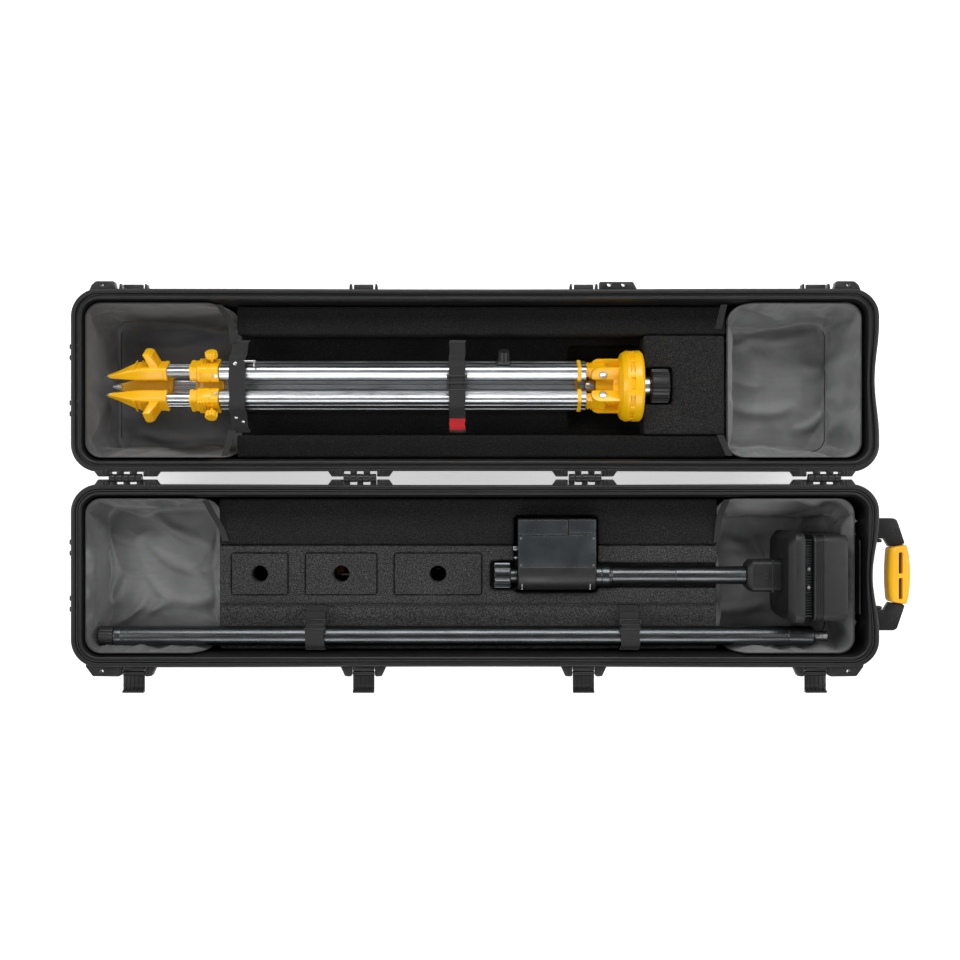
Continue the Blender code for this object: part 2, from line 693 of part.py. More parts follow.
def build_instrument():
    axis = (0.0, AXIS_Y, AXIS_Z)
    knob = ((0.0300, 0.0180), (0.0320, 0.0200), (0.0550, 0.0200), (0.0570, 0.0120), (0.0664, 0.0120))
    node("instrument_knob", turned(knob, 24, "x", axis), "black_plastic", origin=(0.045, AXIS_Y, AXIS_Z))

    centre = (0.5 * (BOX_LEFT + BOX_RIGHT), 0.5 * (BOX_FRONT + BOX_BACK))
    half = (0.5 * (BOX_RIGHT - BOX_LEFT), 0.5 * (BOX_BACK - BOX_FRONT))
    rings = [
        plain_ring(half[0] - inset, half[1] - inset, 0.009 - inset, centre, z)
        for inset, z in ((0.003, BOX_BOTTOM), (0.0, BOX_BOTTOM + 0.003), (0.0, BOX_TOP - 0.003),
                         (0.003, BOX_TOP))
    ]
    body = node("battery_box", loft(rings), "black_plastic")
    cut(body, box((0.0, DOOR_FRONT - 0.0006, DOOR_BOTTOM - 0.0006), (DOOR_RIGHT + 0.0006, 0.2, 0.2)),
        "door_seat")
    cut(body, box((0.0745, 0.0652, 0.0780), (0.1385, 0.0846, 0.2)), "battery_slot")
    node("battery_pack", box((0.0755, 0.0662, 0.0790), (0.1375, 0.0836, 0.1260)), "black_plastic")
    door = prism(
        [
            (DOOR_FRONT, DOOR_BOTTOM + DOOR_CHAMFER), (DOOR_FRONT + DOOR_RELIEF, DOOR_BOTTOM),
            (DOOR_HINGE_Y + 0.001, DOOR_BOTTOM), (DOOR_HINGE_Y + 0.001, BOX_TOP - 0.002),
            (DOOR_HINGE_Y - 0.001, BOX_TOP), (DOOR_FRONT, BOX_TOP),
        ],
        "yz", BOX_LEFT, DOOR_RIGHT,
    )
    node("battery_door", door, "black_plastic", origin=(0.1060, DOOR_HINGE_Y, DOOR_HINGE_Z))

    mast = ((0.1895, COLLAR_RADIUS), (0.2120, COLLAR_RADIUS), (0.2135, MAST_RADIUS), (0.4260, MAST_RADIUS))
    node("mast", turned(mast, 24, "x", axis), "black_aluminium")

    def section(half_y, half_z, radius, x):
        return along_x(plain_ring(half_y, half_z, radius, (AXIS_Y, AXIS_Z), x))

    neck = [section(0.0190, 0.0170, 0.006, 0.4266), section(0.0250, 0.0230, 0.008, 0.4340),
            section(0.0250, 0.0230, 0.008, 0.4790)]
    node("neck_block", loft(neck), "black_plastic")
    tray = [section(TRAY_HALF - 0.009, TRAY_HALF - 0.009, 0.012, 0.4796),
            section(TRAY_HALF, TRAY_HALF, 0.014, 0.4900), section(TRAY_HALF, TRAY_HALF, 0.014, 0.5040)]
    node("antenna_tray", loft(tray), "black_plastic")
    plate = [section(FIN_HALF, FIN_HALF, 0.006, 0.5046), section(FIN_HALF, FIN_HALF, 0.006, 0.5174)]
    sink = node("heatsink", loft(plate), "black_aluminium")
    grooves = []
    for k in range(-4, 5):
        z = AXIS_Z + 0.0125 * k
        grooves.append(box((0.5080, AXIS_Y + 0.030, z - 0.003), (0.5140, 0.1, z + 0.003)))
        grooves.append(box((0.5080, -0.1, z - 0.003), (0.5140, AXIS_Y - 0.030, z + 0.003)))
    cut(sink, combined(grooves), "grooves")
    inner = 0.003
    cover = [
        section(COVER_HALF - inner, COVER_HALF - inner, 0.009, 0.5180),
        section(COVER_HALF, COVER_HALF, 0.012, 0.5180),
        section(COVER_HALF, COVER_HALF, 0.012, 0.5660),
        section(COVER_HALF - 0.005, COVER_HALF - 0.005, 0.008, 0.5710),
    ]
    lining = [
        section(COVER_HALF - 0.007, COVER_HALF - 0.007, 0.006, 0.5680),
        section(COVER_HALF - inner, COVER_HALF - inner, 0.009, 0.5650),
    ]
    node("antenna_cover", loft([lining[0], lining[1]] + cover), "black_plastic")
    board = [section(0.0580, 0.0580, 0.006, 0.5300), section(0.0580, 0.0580, 0.006, 0.5330)]
    node("antenna_board", loft(board), "board_green")


def build_pole():
    axis = (0.0, POLE_Y, POLE_Z)
    cap = ((POLE_LEFT, POLE_RADIUS - 0.002), (POLE_LEFT + 0.002, POLE_RADIUS),
           (POLE_CAP_END, POLE_RADIUS))
    node("pole_cap", turned(cap, 20, "x", axis), "black_plastic")
    tube = (
        (POLE_CAP_END + 0.0006, POLE_RADIUS), (POLE_RIGHT - 0.004, POLE_RADIUS),
        (POLE_RIGHT, POLE_RADIUS - 0.004), (POLE_RIGHT + 0.0005, 0.0079), (POLE_STUD_END, 0.0079),
    )
    node("pole_tube", turned(tube, 20, "x", axis), "black_aluminium")


# ---------------------------------------------------------------- tripod

def leg_frame(angle):
    """Local X stays along the tripod, local Y runs across the leg, local Z outwards from the axis."""
    outward = Vector((0.0, math.cos(math.radians(angle)), math.sin(math.radians(angle))))
    along = Vector((1.0, 0.0, 0.0))
    across = outward.cross(along)
    matrix = Matrix((along, across, outward)).transposed().to_4x4()
    return Matrix.Translation((0.0, TRIPOD_Y, TRIPOD_Z)) @ matrix


def leg_section(half_width, inner, outer, radius, x):
    """A rounded rectangle across the leg, in leg coordinates."""
    middle = 0.5 * (inner + outer)
    ring = plain_ring(half_width, 0.5 * (outer - inner), radius, (0.0, middle), x, steps=2)
    return [(c, a, b) for a, b, c in ring]


def hollow_section(half_width, inner, outer, wall, start, end):
    """A straight tube with open ends."""
    return loft(
        [
            leg_section(half_width, inner, outer, 0.006, start),
            leg_section(half_width, inner, outer, 0.006, end),
            leg_section(half_width - wall, inner + wall, outer - wall, 0.0035, end),
            leg_section(half_width - wall, inner + wall, outer - wall, 0.0035, start),
        ],
        closed=True,
    )


def build_tripod():
    axis = (0.0, TRIPOD_Y, TRIPOD_Z)
    plate = ((HEAD_BACK, 0.0400), (0.2300, 0.0520), (0.2370, HEAD_RADIUS), (0.2590, HEAD_RADIUS),
             (HEAD_FRONT, 0.0520))
    origin = (0.240, TRIPOD_Y, TRIPOD_Z)
    head = node("tripod_head", turned(plate, 32, "x", axis), "yellow_paint", origin=origin)
    hub = turned(((0.1900, 0.0150), (0.2300, 0.0150)), 18, "x", axis)
    cheeks, pins = [], []
    for angle in LEG_ANGLES:
        frame = leg_frame(angle)
        for side in (-1, 1):
            low, high = sorted((side * 0.0128, side * 0.0175))
            cheeks.append(moved(box((0.1820, low, 0.0195), (0.2320, high, 0.0400)), frame))
            low, high = sorted((side * 0.0030, side * 0.0165))
            cheeks.append(moved(box((0.2165, low, 0.0080), (0.2310, high, 0.0260)), frame))
        stations = ((-0.0150, LEG_PIN_RADIUS), (0.0150, LEG_PIN_RADIUS))
        pins.append(moved(turned(stations, 10, "y", (LEG_PIVOT_X, 0.0, LEG_PIVOT_RADIAL)), frame))
    add(head, hub, "hub")
    for k, cheek in enumerate(cheeks):
        add(head, cheek, "cheek_%d" % k)
    add(head, combined(pins), "pins")
    cut(head, turned(((0.1, SCREW_RADIUS + BORE_GAP), (0.3, SCREW_RADIUS + BORE_GAP)), 18, "x", axis),
        "screw_bore")

    screw = (
        (0.1740, 0.0110), (0.1880, 0.0110), (0.1885, SCREW_RADIUS), (0.2765, SCREW_RADIUS),
        (0.2770, 0.0260), (0.2790, SCREW_KNOB_RADIUS), (0.3040, SCREW_KNOB_RADIUS), (0.3060, 0.0260),
    )
    node("fixing_screw", turned(screw, 24, "x", axis), "black_plastic", origin=origin)

    for i, angle in enumerate(LEG_ANGLES):
        frame = leg_frame(angle)
        pivot = tuple(frame @ Vector((LEG_PIVOT_X, 0.0, LEG_PIVOT_RADIAL)))
        number = i + 1
        profile = hollow_section(LEG_HALF_WIDTH, LEG_INNER, LEG_OUTER, LEG_WALL, LEG_START, LEG_END)
        leg = node("outer_leg_%d" % number, moved(profile, frame), "aluminium", origin=pivot)
        plug = box((0.1460, -0.0165, 0.0165), (0.1655, 0.0165, 0.0375))
        tongue = box((0.1500, -0.0118, 0.0205), (0.2110, 0.0118, 0.0355))
        add(leg, moved(plug, frame), "plug")
        add(leg, moved(tongue, frame), "tongue")
        bore = LEG_PIN_RADIUS + BORE_GAP
        hole = turned(((-0.05, bore), (0.05, bore)), 10, "y", (LEG_PIVOT_X, 0.0, LEG_PIVOT_RADIAL))
        cut(leg, moved(hole, frame), "bore")

        clamp = hollow_section(0.0195, 0.0135, 0.0410, 0.0043, CLAMP_START, CLAMP_END)
        node("leg_clamp_%d" % number, moved(clamp, frame), "yellow_plastic", origin=pivot)
        tube = hollow_section(0.0143, 0.0187, 0.0353, 0.0016, TUBE_START, TUBE_END)
        node("inner_tube_%d" % number, moved(tube, frame), "aluminium", origin=pivot)
        shoe = loft(
            [
                leg_section(0.0165, 0.0165, 0.0375, 0.005, SHOE_TOP),
                leg_section(0.0165, 0.0160, 0.0375, 0.005, -0.5350),
                leg_section(0.0110, 0.0150, 0.0310, 0.003, -0.5600),
                leg_section(0.0020, 0.0145, 0.0180, 0.001, SHOE_TIP),
            ]
        )
        foot = node("leg_shoe_%d" % number, moved(shoe, frame), "yellow_plastic", origin=pivot)
        peg = prism([(-0.4930, 0.0330), (-0.5080, 0.0330), (-0.5060, 0.0600), (-0.4960, 0.0600)],
                    "xz", -0.0125, 0.0125)
        add(foot, moved(peg, frame), "peg")
        lever = ((0.0416, 0.0028), (0.0495, 0.0028), (0.0500, 0.0085), (0.0590, 0.0085), (0.0600, 0.0070))
        shape = moved(turned(lever, 12, "z", (LEVER_X, 0.0, 0.0)), frame)
        centre = tuple(frame @ Vector((LEVER_X, 0.0, 0.0500)))
        node("clamp_lever_%d" % number, shape, "yellow_plastic", origin=centre)


build_base_shell()
build_rim_seal()
build_hinge_pins()
build_base_linings()
build_straps()
build_wheels()
build_handle()
build_latches()
build_instrument()
build_pole()
build_lid_shell()
build_lid_linings()
build_tripod()
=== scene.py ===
"""Looks for the surveying kit in its transport case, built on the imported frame."""
import math

import bmesh
import bpy
import numpy as np
from mathutils import Matrix, Vector, noise


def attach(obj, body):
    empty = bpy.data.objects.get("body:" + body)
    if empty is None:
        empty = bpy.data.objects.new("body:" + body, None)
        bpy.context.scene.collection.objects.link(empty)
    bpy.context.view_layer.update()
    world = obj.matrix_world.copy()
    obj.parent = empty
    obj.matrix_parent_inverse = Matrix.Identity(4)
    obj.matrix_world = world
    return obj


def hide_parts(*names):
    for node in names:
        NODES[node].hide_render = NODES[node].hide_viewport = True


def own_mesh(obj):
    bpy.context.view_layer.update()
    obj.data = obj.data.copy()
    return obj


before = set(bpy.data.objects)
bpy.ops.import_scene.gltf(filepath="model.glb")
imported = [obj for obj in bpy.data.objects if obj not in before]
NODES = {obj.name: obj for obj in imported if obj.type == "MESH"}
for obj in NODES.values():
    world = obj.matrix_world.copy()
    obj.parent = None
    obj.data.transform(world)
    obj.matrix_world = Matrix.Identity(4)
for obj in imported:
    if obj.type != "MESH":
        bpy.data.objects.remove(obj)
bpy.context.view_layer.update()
scene = bpy.context.scene

RIM_HALF_X, RIM_HALF_Y, RIM_RADIUS, RIM_Z = 0.626, 0.142, 0.043, 0.1495
LID_Y = 0.303
HINGE_Y, HINGE_Z = 0.1515, 0.150
HINGE_X = (-0.5396, -0.1778, 0.1700, 0.5395)
LATCH_X = (-0.5300, -0.1730, 0.1685, 0.5287)
LATCH_Y, LATCH_Z = -0.1520, 0.1380
LUG_TOP = 0.1455
EYE_X, EYE_OUT = 0.5790, 0.1486
FOAM_LEFT, FOAM_RIGHT, FOAM_TOP = -0.4040, 0.3825, 0.110
LID_FOAM_LEFT, LID_FOAM_RIGHT = -0.3762, 0.3962
POLE_Y, POLE_Z, POLE_RADIUS = -0.0967, 0.1145, 0.0155
AXIS_Y, AXIS_Z = -0.002, 0.107
TRIPOD_Y, TRIPOD_Z = 0.297, 0.102
LEG_ANGLES = (30.0, 150.0, 270.0)


# ---------------------------------------------------------------- materials

class Look:
    """A Principled material with its pattern nodes, in object coordinates (metres)."""

    def __init__(self, name, rough=0.5, metallic=0.0, **sockets):
        self.material = bpy.data.materials.new(name)
        self.material.use_nodes = True
        self.tree = self.material.node_tree
        self.shader = self.tree.nodes["Principled BSDF"]
        self.shader.inputs["Metallic"].default_value = metallic
        self.shader.inputs["Roughness"].default_value = rough
        for key, value in sockets.items():
            self.shader.inputs[key.replace("_", " ")].default_value = value
        self.coords = self.tree.nodes.new("ShaderNodeTexCoord").outputs["Object"]
        self.normal = None

    def node(self, kind):
        return self.tree.nodes.new(kind)

    def link(self, a, b):
        self.tree.links.new(a, b)

    def place(self, stretch, turn=(0.0, 0.0, 0.0)):
        mapping = self.node("ShaderNodeMapping")
        mapping.inputs["Scale"].default_value = stretch
        mapping.inputs["Rotation"].default_value = turn
        self.link(self.coords, mapping.inputs["Vector"])
        return mapping.outputs["Vector"]

    def noise(self, scale, detail=3.0, stretch=(1, 1, 1), rough=0.5):
        texture = self.node("ShaderNodeTexNoise")
        texture.inputs["Scale"].default_value = scale
        texture.inputs["Detail"].default_value = detail
        texture.inputs["Roughness"].default_value = rough
        self.link(self.place(stretch), texture.inputs["Vector"])
        return texture.outputs["Fac"]

    def cells(self, scale, stretch=(1, 1, 1)):
        texture = self.node("ShaderNodeTexVoronoi")
        texture.inputs["Scale"].default_value = scale
        self.link(self.place(stretch), texture.inputs["Vector"])
        return texture.outputs["Distance"]

    def wave(self, scale, axis="X", distort=0.0, turn=(0.0, 0.0, 0.0)):
        texture = self.node("ShaderNodeTexWave")
        texture.bands_direction = axis
        texture.inputs["Scale"].default_value = scale
        texture.inputs["Distortion"].default_value = distort
        self.link(self.place((1, 1, 1), turn), texture.inputs["Vector"])
        return texture.outputs["Fac"]

    # Convex-edge mask from pointiness: it paints paler edges that are part wear and part painted highlight.
    def edge_wear_and_highlight(self, low=0.52, high=0.62):
        pointy = self.node("ShaderNodeNewGeometry").outputs["Pointiness"]
        return self.span(pointy, 0.0, 1.0, low, high)

    def span(self, value, to_low, to_high, low=0.0, high=1.0):
        scaled = self.node("ShaderNodeMapRange")
        scaled.inputs["From Min"].default_value = low
        scaled.inputs["From Max"].default_value = high
        scaled.inputs["To Min"].default_value = to_low
        scaled.inputs["To Max"].default_value = to_high
        self.link(value, scaled.inputs["Value"])
        return scaled.outputs["Result"]

    def both(self, a, b, how="MULTIPLY"):
        maths = self.node("ShaderNodeMath")
        maths.operation = how
        self.link(a, maths.inputs[0])
        self.link(b, maths.inputs[1])
        return maths.outputs[0]

    def blend(self, factor, a, b):
        mix = self.node("ShaderNodeMix")
        mix.data_type = "RGBA"
        self.link(factor, mix.inputs[0])
        for socket, colour in ((mix.inputs[6], a), (mix.inputs[7], b)):
            if isinstance(colour, tuple):
                socket.default_value = (*colour, 1.0)
            else:
                self.link(colour, socket)
        return mix.outputs[2]

    def colour(self, socket):
        self.link(socket, self.shader.inputs["Base Color"])
        return self

    def roughness(self, socket):
        self.link(socket, self.shader.inputs["Roughness"])
        return self

    def bump(self, height, strength, distance=0.001):
        bump = self.node("ShaderNodeBump")
        bump.inputs["Strength"].default_value = strength
        bump.inputs["Distance"].default_value = distance
        self.link(height, bump.inputs["Height"])
        if self.normal is not None:
            self.link(self.normal, bump.inputs["Normal"])
        self.normal = bump.outputs["Normal"]
        self.link(self.normal, self.shader.inputs["Normal"])
        return self


def moulded(name, dark, light, rough, grain=2400.0, strength=0.18, edge_wear_and_highlight=0.5, **sockets):
    """Grained moulded plastic: fine texture, faint clouding, paler convex edges that are part wear and part painted
    highlight.
    """
    look = Look(name, rough, **sockets)
    cloud = look.span(look.noise(9.0, 5.0), 0.0, 1.0, 0.35, 0.68)
    base = look.blend(cloud, dark, light)
    pale = tuple(min(1.0, c * 2.6 + 0.012) for c in light)
    # Paler edges: part wear, part painted highlight along the rounded edges.
    edge = look.both(look.edge_wear_and_highlight(), look.span(look.noise(60.0, 4.0), 0.2, 1.0, 0.35, 0.65))
    look.colour(look.blend(look.span(edge, 0.0, edge_wear_and_highlight), base, pale))
    look.roughness(look.span(look.noise(34.0, 6.0), rough - 0.07, rough + 0.10, 0.3, 0.7))
    look.bump(look.noise(grain, 2.0), strength, 0.0004)
    look.bump(look.noise(22.0, 3.0), 0.10, 0.0020)
    return look.material


def foam_look(name, dark, light):
    look = Look(name, 0.95, Specular_IOR_Level=0.15)
    pores = look.both(look.noise(520.0, 2.5, rough=0.7), look.span(look.cells(640.0), 0.55, 1.25))
    cloud = look.span(look.noise(12.0, 4.0), 0.82, 1.12, 0.3, 0.7)
    speckle = look.both(look.span(pores, 0.0, 1.0, 0.30, 0.72), cloud)
    look.colour(look.blend(speckle, dark, light))
    look.bump(pores, 0.75, 0.0012)
    look.bump(look.noise(70.0, 3.0), 0.20, 0.0015)
    return look.material


def nylon_look(name, dark, light, rough):
    look = Look(name, rough, Sheen_Weight=0.35, Sheen_Roughness=0.4, Specular_IOR_Level=0.55)
    weave = look.both(look.wave(560.0, "X"), look.wave(560.0, "Y"), "ADD")
    slub = look.span(look.noise(240.0, 3.0, (0.08, 1.0, 1.0)), 0.0, 1.0, 0.3, 0.7)
    cloud = look.span(look.noise(14.0, 5.0), 0.0, 1.0, 0.3, 0.7)
    tone = look.both(look.span(slub, 0.75, 1.15), cloud)
    look.colour(look.blend(tone, dark, light))
    look.bump(weave, 0.22, 0.0003)
    look.bump(look.noise(46.0, 5.0), 0.28, 0.0022)
    return look.material


def webbing_look(name, dark, light):
    look = Look(name, 0.72, Sheen_Weight=0.25, Sheen_Roughness=0.45)
    ribs = look.wave(330.0, "X")
    picks = look.both(look.wave(420.0, "Y"), look.wave(420.0, "Z"), "ADD")
    weave = look.both(ribs, look.span(picks, 0.35, 1.0, 0.0, 2.0))
    look.colour(look.blend(look.span(weave, 0.0, 1.0), dark, light))
    look.bump(weave, 0.55, 0.0005)
    look.bump(look.noise(300.0, 3.0), 0.20, 0.0004)
    return look.material


def metal_look(name, dark, light, rough, stretch, grain=900.0, **sockets):
    """Drawn or brushed metal with fine lines along one direction."""
    look = Look(name, rough, 1.0, **sockets)
    lines = look.noise(grain, 3.0, stretch, 0.65)
    cloud = look.noise(16.0, 5.0)
    look.colour(look.blend(look.span(look.both(lines, cloud, "ADD"), 0.0, 1.0, 0.7, 1.3), dark, light))
    look.roughness(look.span(lines, rough - 0.08, rough + 0.10, 0.3, 0.7))
    look.bump(lines, 0.10, 0.0002)
    return look.material


CASE = moulded("case_plastic", (0.0046, 0.0046, 0.0049), (0.0076, 0.0076, 0.0080), 0.42, Specular_IOR_Level=0.42)
RUBBER = moulded("seal_rubber", (0.0060, 0.0060, 0.0062), (0.0100, 0.0100, 0.0102), 0.62, 1500.0, 0.10, 0.2)
TYRE = moulded("tyre_rubber", (0.0090, 0.0090, 0.0090), (0.0160, 0.0155, 0.0150), 0.78, 900.0, 0.30, 0.5)
LATCH = moulded("latch_plastic", (0.0036, 0.0036, 0.0038), (0.0060, 0.0060, 0.0062), 0.44,
                Specular_IOR_Level=0.36)
BLACK = moulded("instrument_plastic", (0.0060, 0.0060, 0.0065), (0.0100, 0.0102, 0.0108), 0.46, 3200.0, 0.22)
DARK = moulded("dark_plastic", (0.0050, 0.0050, 0.0052), (0.0082, 0.0082, 0.0085), 0.44)
FILM = moulded("cover_film", (0.0160, 0.0200, 0.0230), (0.0300, 0.0350, 0.0400), 0.28, 1400.0, 0.10, 0.1,
               Coat_Weight=0.4, Coat_Roughness=0.18)
GRIP = moulded("grip_yellow", (0.820, 0.410, 0.0010), (0.940, 0.500, 0.0030), 0.42, 1900.0, 0.25, 0.0)
YELLOW = moulded("tripod_yellow", (0.840, 0.430, 0.0006), (0.950, 0.520, 0.0025), 0.34, 2600.0, 0.08, 0.0,
                 Coat_Weight=0.10, Coat_Roughness=0.2)
ORANGE = moulded("orange_paint", (0.600, 0.210, 0.0070), (0.780, 0.300, 0.0140), 0.32, 2600.0, 0.08, 0.0)
FOAM = foam_look("foam_dark", (0.0075, 0.0075, 0.0078), (0.0860, 0.0855, 0.0850))
FOAM_BACK = foam_look("foam_back", (0.0040, 0.0040, 0.0042), (0.0290, 0.0286, 0.0284))
FOAM_LID = foam_look("foam_lid", (0.0034, 0.0032, 0.0032), (0.0230, 0.0220, 0.0216))
FOAM_BLOCK = foam_look("foam_block", (0.0052, 0.0050, 0.0050), (0.0370, 0.0356, 0.0350))
NYLON = nylon_look("lining_nylon", (0.0800, 0.0810, 0.0830), (0.1300, 0.1315, 0.1340), 0.50)
NYLON_LIGHT = nylon_look("lining_nylon_light", (0.1400, 0.1415, 0.1440), (0.2200, 0.2220, 0.2250), 0.50)
NYLON_DARK = nylon_look("lining_nylon_dark", (0.0720, 0.0730, 0.0750), (0.1150, 0.1160, 0.1190), 0.52)
WEBBING = webbing_look("webbing_black", (0.0034, 0.0034, 0.0036), (0.0125, 0.0125, 0.0130))
RED = webbing_look("tab_red", (0.480, 0.0040, 0.0080), (0.760, 0.0120, 0.0180))
BINDING = webbing_look("binding_tape", (0.0045, 0.0045, 0.0046), (0.0120, 0.0120, 0.0122))
ALUMINIUM = metal_look("leg_aluminium", (0.400, 0.415, 0.430), (0.600, 0.612, 0.625), 0.32, (0.02, 1, 1),
                       Anisotropic=0.4)
STEEL = metal_look("steel", (0.480, 0.480, 0.490), (0.680, 0.680, 0.690), 0.30, (1, 0.06, 1))
ANODISED = metal_look("black_anodised", (0.075, 0.080, 0.083), (0.115, 0.121, 0.125), 0.30, (0.03, 1, 1))
SILVER = metal_look("silver_paint", (0.500, 0.530, 0.560), (0.700, 0.730, 0.760), 0.34, (1, 1, 1))


# ---------------------------------------------------------------- shapes, as (vertices, faces)

def box(low, high):
    (x0, y0, z0), (x1, y1, z1) = low, high
    verts = [(x, y, z) for x in (x0, x1) for y in (y0, y1) for z in (z0, z1)]
    return verts, [(0, 1, 3, 2), (4, 6, 7, 5), (0, 4, 5, 1), (2, 3, 7, 6), (0, 2, 6, 4), (1, 5, 7, 3)]


def loft(rings, closed=False, caps=True):
    count = len(rings[0])
    verts = [tuple(point) for ring in rings for point in ring]
    faces = []
    last = len(rings) if closed else len(rings) - 1
    for i in range(last):
        a, b = i * count, ((i + 1) % len(rings)) * count
        faces.extend((a + k, a + (k + 1) % count, b + (k + 1) % count, b + k) for k in range(count))
    if caps and not closed:
        end = (len(rings) - 1) * count
        faces.append(tuple(range(count))[::-1])
        faces.append(tuple(range(end, end + count)))
    return verts, faces


def eased(points, radius, steps=4):
    """A polyline whose inner corners are rounded."""
    result = [tuple(points[0])]
    for i in range(1, len(points) - 1):
        corner = np.array(points[i], float)
        before, after = np.array(points[i - 1], float), np.array(points[i + 1], float)
        wish = radius[i] if isinstance(radius, (list, tuple)) else radius
        a, b = np.linalg.norm(before - corner), np.linalg.norm(after - corner)
        if wish <= 0.0 or min(a, b) < 1e-7:
            result.append(tuple(corner))
            continue
        reach = min(wish, 0.48 * a, 0.48 * b)
        start, stop = corner + (before - corner) / a * reach, corner + (after - corner) / b * reach
        for k in range(steps + 1):
            t = k / steps
            result.append(tuple((1 - t) ** 2 * start + 2 * t * (1 - t) * corner + t * t * stop))
    result.append(tuple(points[-1]))
    return result


def placed(shape, axis, centre):
    direction = {"x": (1, 0, 0), "y": (0, 1, 0), "z": (0, 0, 1)}.get(axis, axis)
    spin = Vector((0, 0, 1)).rotation_difference(Vector(direction)).to_matrix().to_4x4()
    return moved(shape, Matrix.Translation(centre) @ spin)


def moved(shape, matrix):
    verts, faces = shape
    m = np.array(matrix)
    v = np.asarray(verts, float) @ m[:3, :3].T + m[:3, 3]
    return [tuple(p) for p in v], faces


def turned(stations, sides, axis, centre, ease=0.0006, steps=3, teeth=0, depth=0.0):
    """A lathe shape; teeth cuts grooves along it wherever the radius is near its largest."""
    points = eased(stations, ease, steps)
    top = max(r for _, r in points)
    rings = []
    for d, r in points:
        ring = []
        for k in range(sides):
            angle = 2 * math.pi * k / sides
            reach = r
            if teeth and r > top * 0.93:
                phase = (k * teeth / sides) % 1.0
                reach = r * (1.0 - depth * (0.5 - 0.5 * math.tanh(6 * math.cos(2 * math.pi * phase))))
            ring.append((reach * math.cos(angle), reach * math.sin(angle), d))
        rings.append(ring)
    return placed(loft(rings), axis, centre)


def ring_shape(stations, sides, axis, centre):
    """A ring of revolution with a closed section."""
    rings = [[(r * math.cos(2 * math.pi * k / sides), r * math.sin(2 * math.pi * k / sides), d)
              for k in range(sides)] for d, r in stations]
    return placed(loft(rings, closed=True), axis, centre)


def prism(profile, plane, low, high):
    place = {"xy": lambda a, b, c: (a, b, c), "yz": lambda a, b, c: (c, a, b),
             "xz": lambda a, b, c: (a, c, b)}[plane]
    return loft([[place(a, b, level) for a, b in profile] for level in (low, high)])


def soft(shape, width, steps=2, limit=25.0):
    """The same closed shape with its sharp edges rounded."""
    verts, faces = shape
    work = bmesh.new()
    points = [work.verts.new(v) for v in verts]
    for face in faces:
        try:
            work.faces.new([points[i] for i in face])
        except ValueError:
            pass
    bmesh.ops.recalc_face_normals(work, faces=work.faces)
    edges = [e for e in work.edges if len(e.link_faces) == 2
             and e.calc_face_angle(0.0) > math.radians(limit)]
    bmesh.ops.bevel(work, geom=edges, offset=width, segments=steps, profile=0.5, affect="EDGES",
                    clamp_overlap=True)
    work.verts.ensure_lookup_table()
    out = [tuple(v.co) for v in work.verts], [tuple(v.index for v in f.verts) for f in work.faces]
    work.free()
    return out


def hard(low, high, width=0.0008, steps=2):
    return soft(box(low, high), width, steps)


def rect_ring(half_a, half_b, radius, centre, level, steps=6):
    ca, cb = centre
    points = []
    for sa, sb, start in ((1, 1, 0), (-1, 1, 90), (-1, -1, 180), (1, -1, 270)):
        for k in range(steps + 1):
            angle = math.radians(start + 90.0 * k / steps)
            points.append((ca + sa * (half_a - radius) + radius * math.cos(angle),
                           cb + sb * (half_b - radius) + radius * math.sin(angle), level))
    return points


def slab_x(stations, radius, steps=6):
    """Rounded sections across the instrument's axis: (x, half width in y, half height in z)."""
    rings = []
    for x, half_y, half_z in stations:
        r = min(radius, 0.9 * half_y, 0.9 * half_z)
        rings.append([(c, a, b) for a, b, c in rect_ring(half_y, half_z, r, (AXIS_Y, AXIS_Z), x, steps)])
    return loft(rings)


def tube_along(path, radius, sides=8):
    """A round bar along a polyline."""
    path = [Vector(p) for p in path]
    rings, side = [], None
    for i, point in enumerate(path):
        ahead = (path[min(i + 1, len(path) - 1)] - path[max(i - 1, 0)]).normalized()
        if side is None:
            side = ahead.orthogonal().normalized()
        side = (side - ahead * side.dot(ahead)).normalized()
        other = ahead.cross(side)
        rings.append([tuple(point + radius * (math.cos(2 * math.pi * k / sides) * side
                                              + math.sin(2 * math.pi * k / sides) * other))
                      for k in range(sides)])
    return loft(rings)


def smooth_path(points, count):
    """A Catmull-Rom curve through the points."""
    pts = [np.array(p, float) for p in points]
    pts = [2 * pts[0] - pts[1]] + pts + [2 * pts[-1] - pts[-2]]
    out = []
    spans = len(pts) - 3
    for i in range(count):
        u = i / (count - 1) * spans
        k = min(int(u), spans - 1)
        t = u - k
        a, b, c, d = pts[k:k + 4]
        out.append(0.5 * (2 * b + (c - a) * t + (2 * a - 5 * b + 4 * c - d) * t ** 2
                          + (3 * b - a - 3 * c + d) * t ** 3))
    return out


# ---------------------------------------------------------------- pieces

def object_from(name, shape, material, angle=32.0, open_sheet=False):
    verts, faces = shape
    mesh = bpy.data.meshes.new(name)
    mesh.from_pydata([tuple(v) for v in verts], [], faces)
    work = bmesh.new()
    work.from_mesh(mesh)
    if not open_sheet:
        bmesh.ops.recalc_face_normals(work, faces=work.faces)
    work.to_mesh(mesh)
    work.free()
    obj = bpy.data.objects.new(name, mesh)
    scene.collection.objects.link(obj)
    if material is not None:
        mesh.materials.append(material)
    mesh.shade_smooth()
    if angle:
        mesh.set_sharp_from_angle(angle=math.radians(angle))
    return obj


def evaluated(obj):
    """Applies the object's modifiers to its mesh."""
    graph = bpy.context.evaluated_depsgraph_get()
    graph.update()
    mesh = bpy.data.meshes.new_from_object(obj.evaluated_get(graph))
    obj.modifiers.clear()
    obj.data = mesh
    return obj


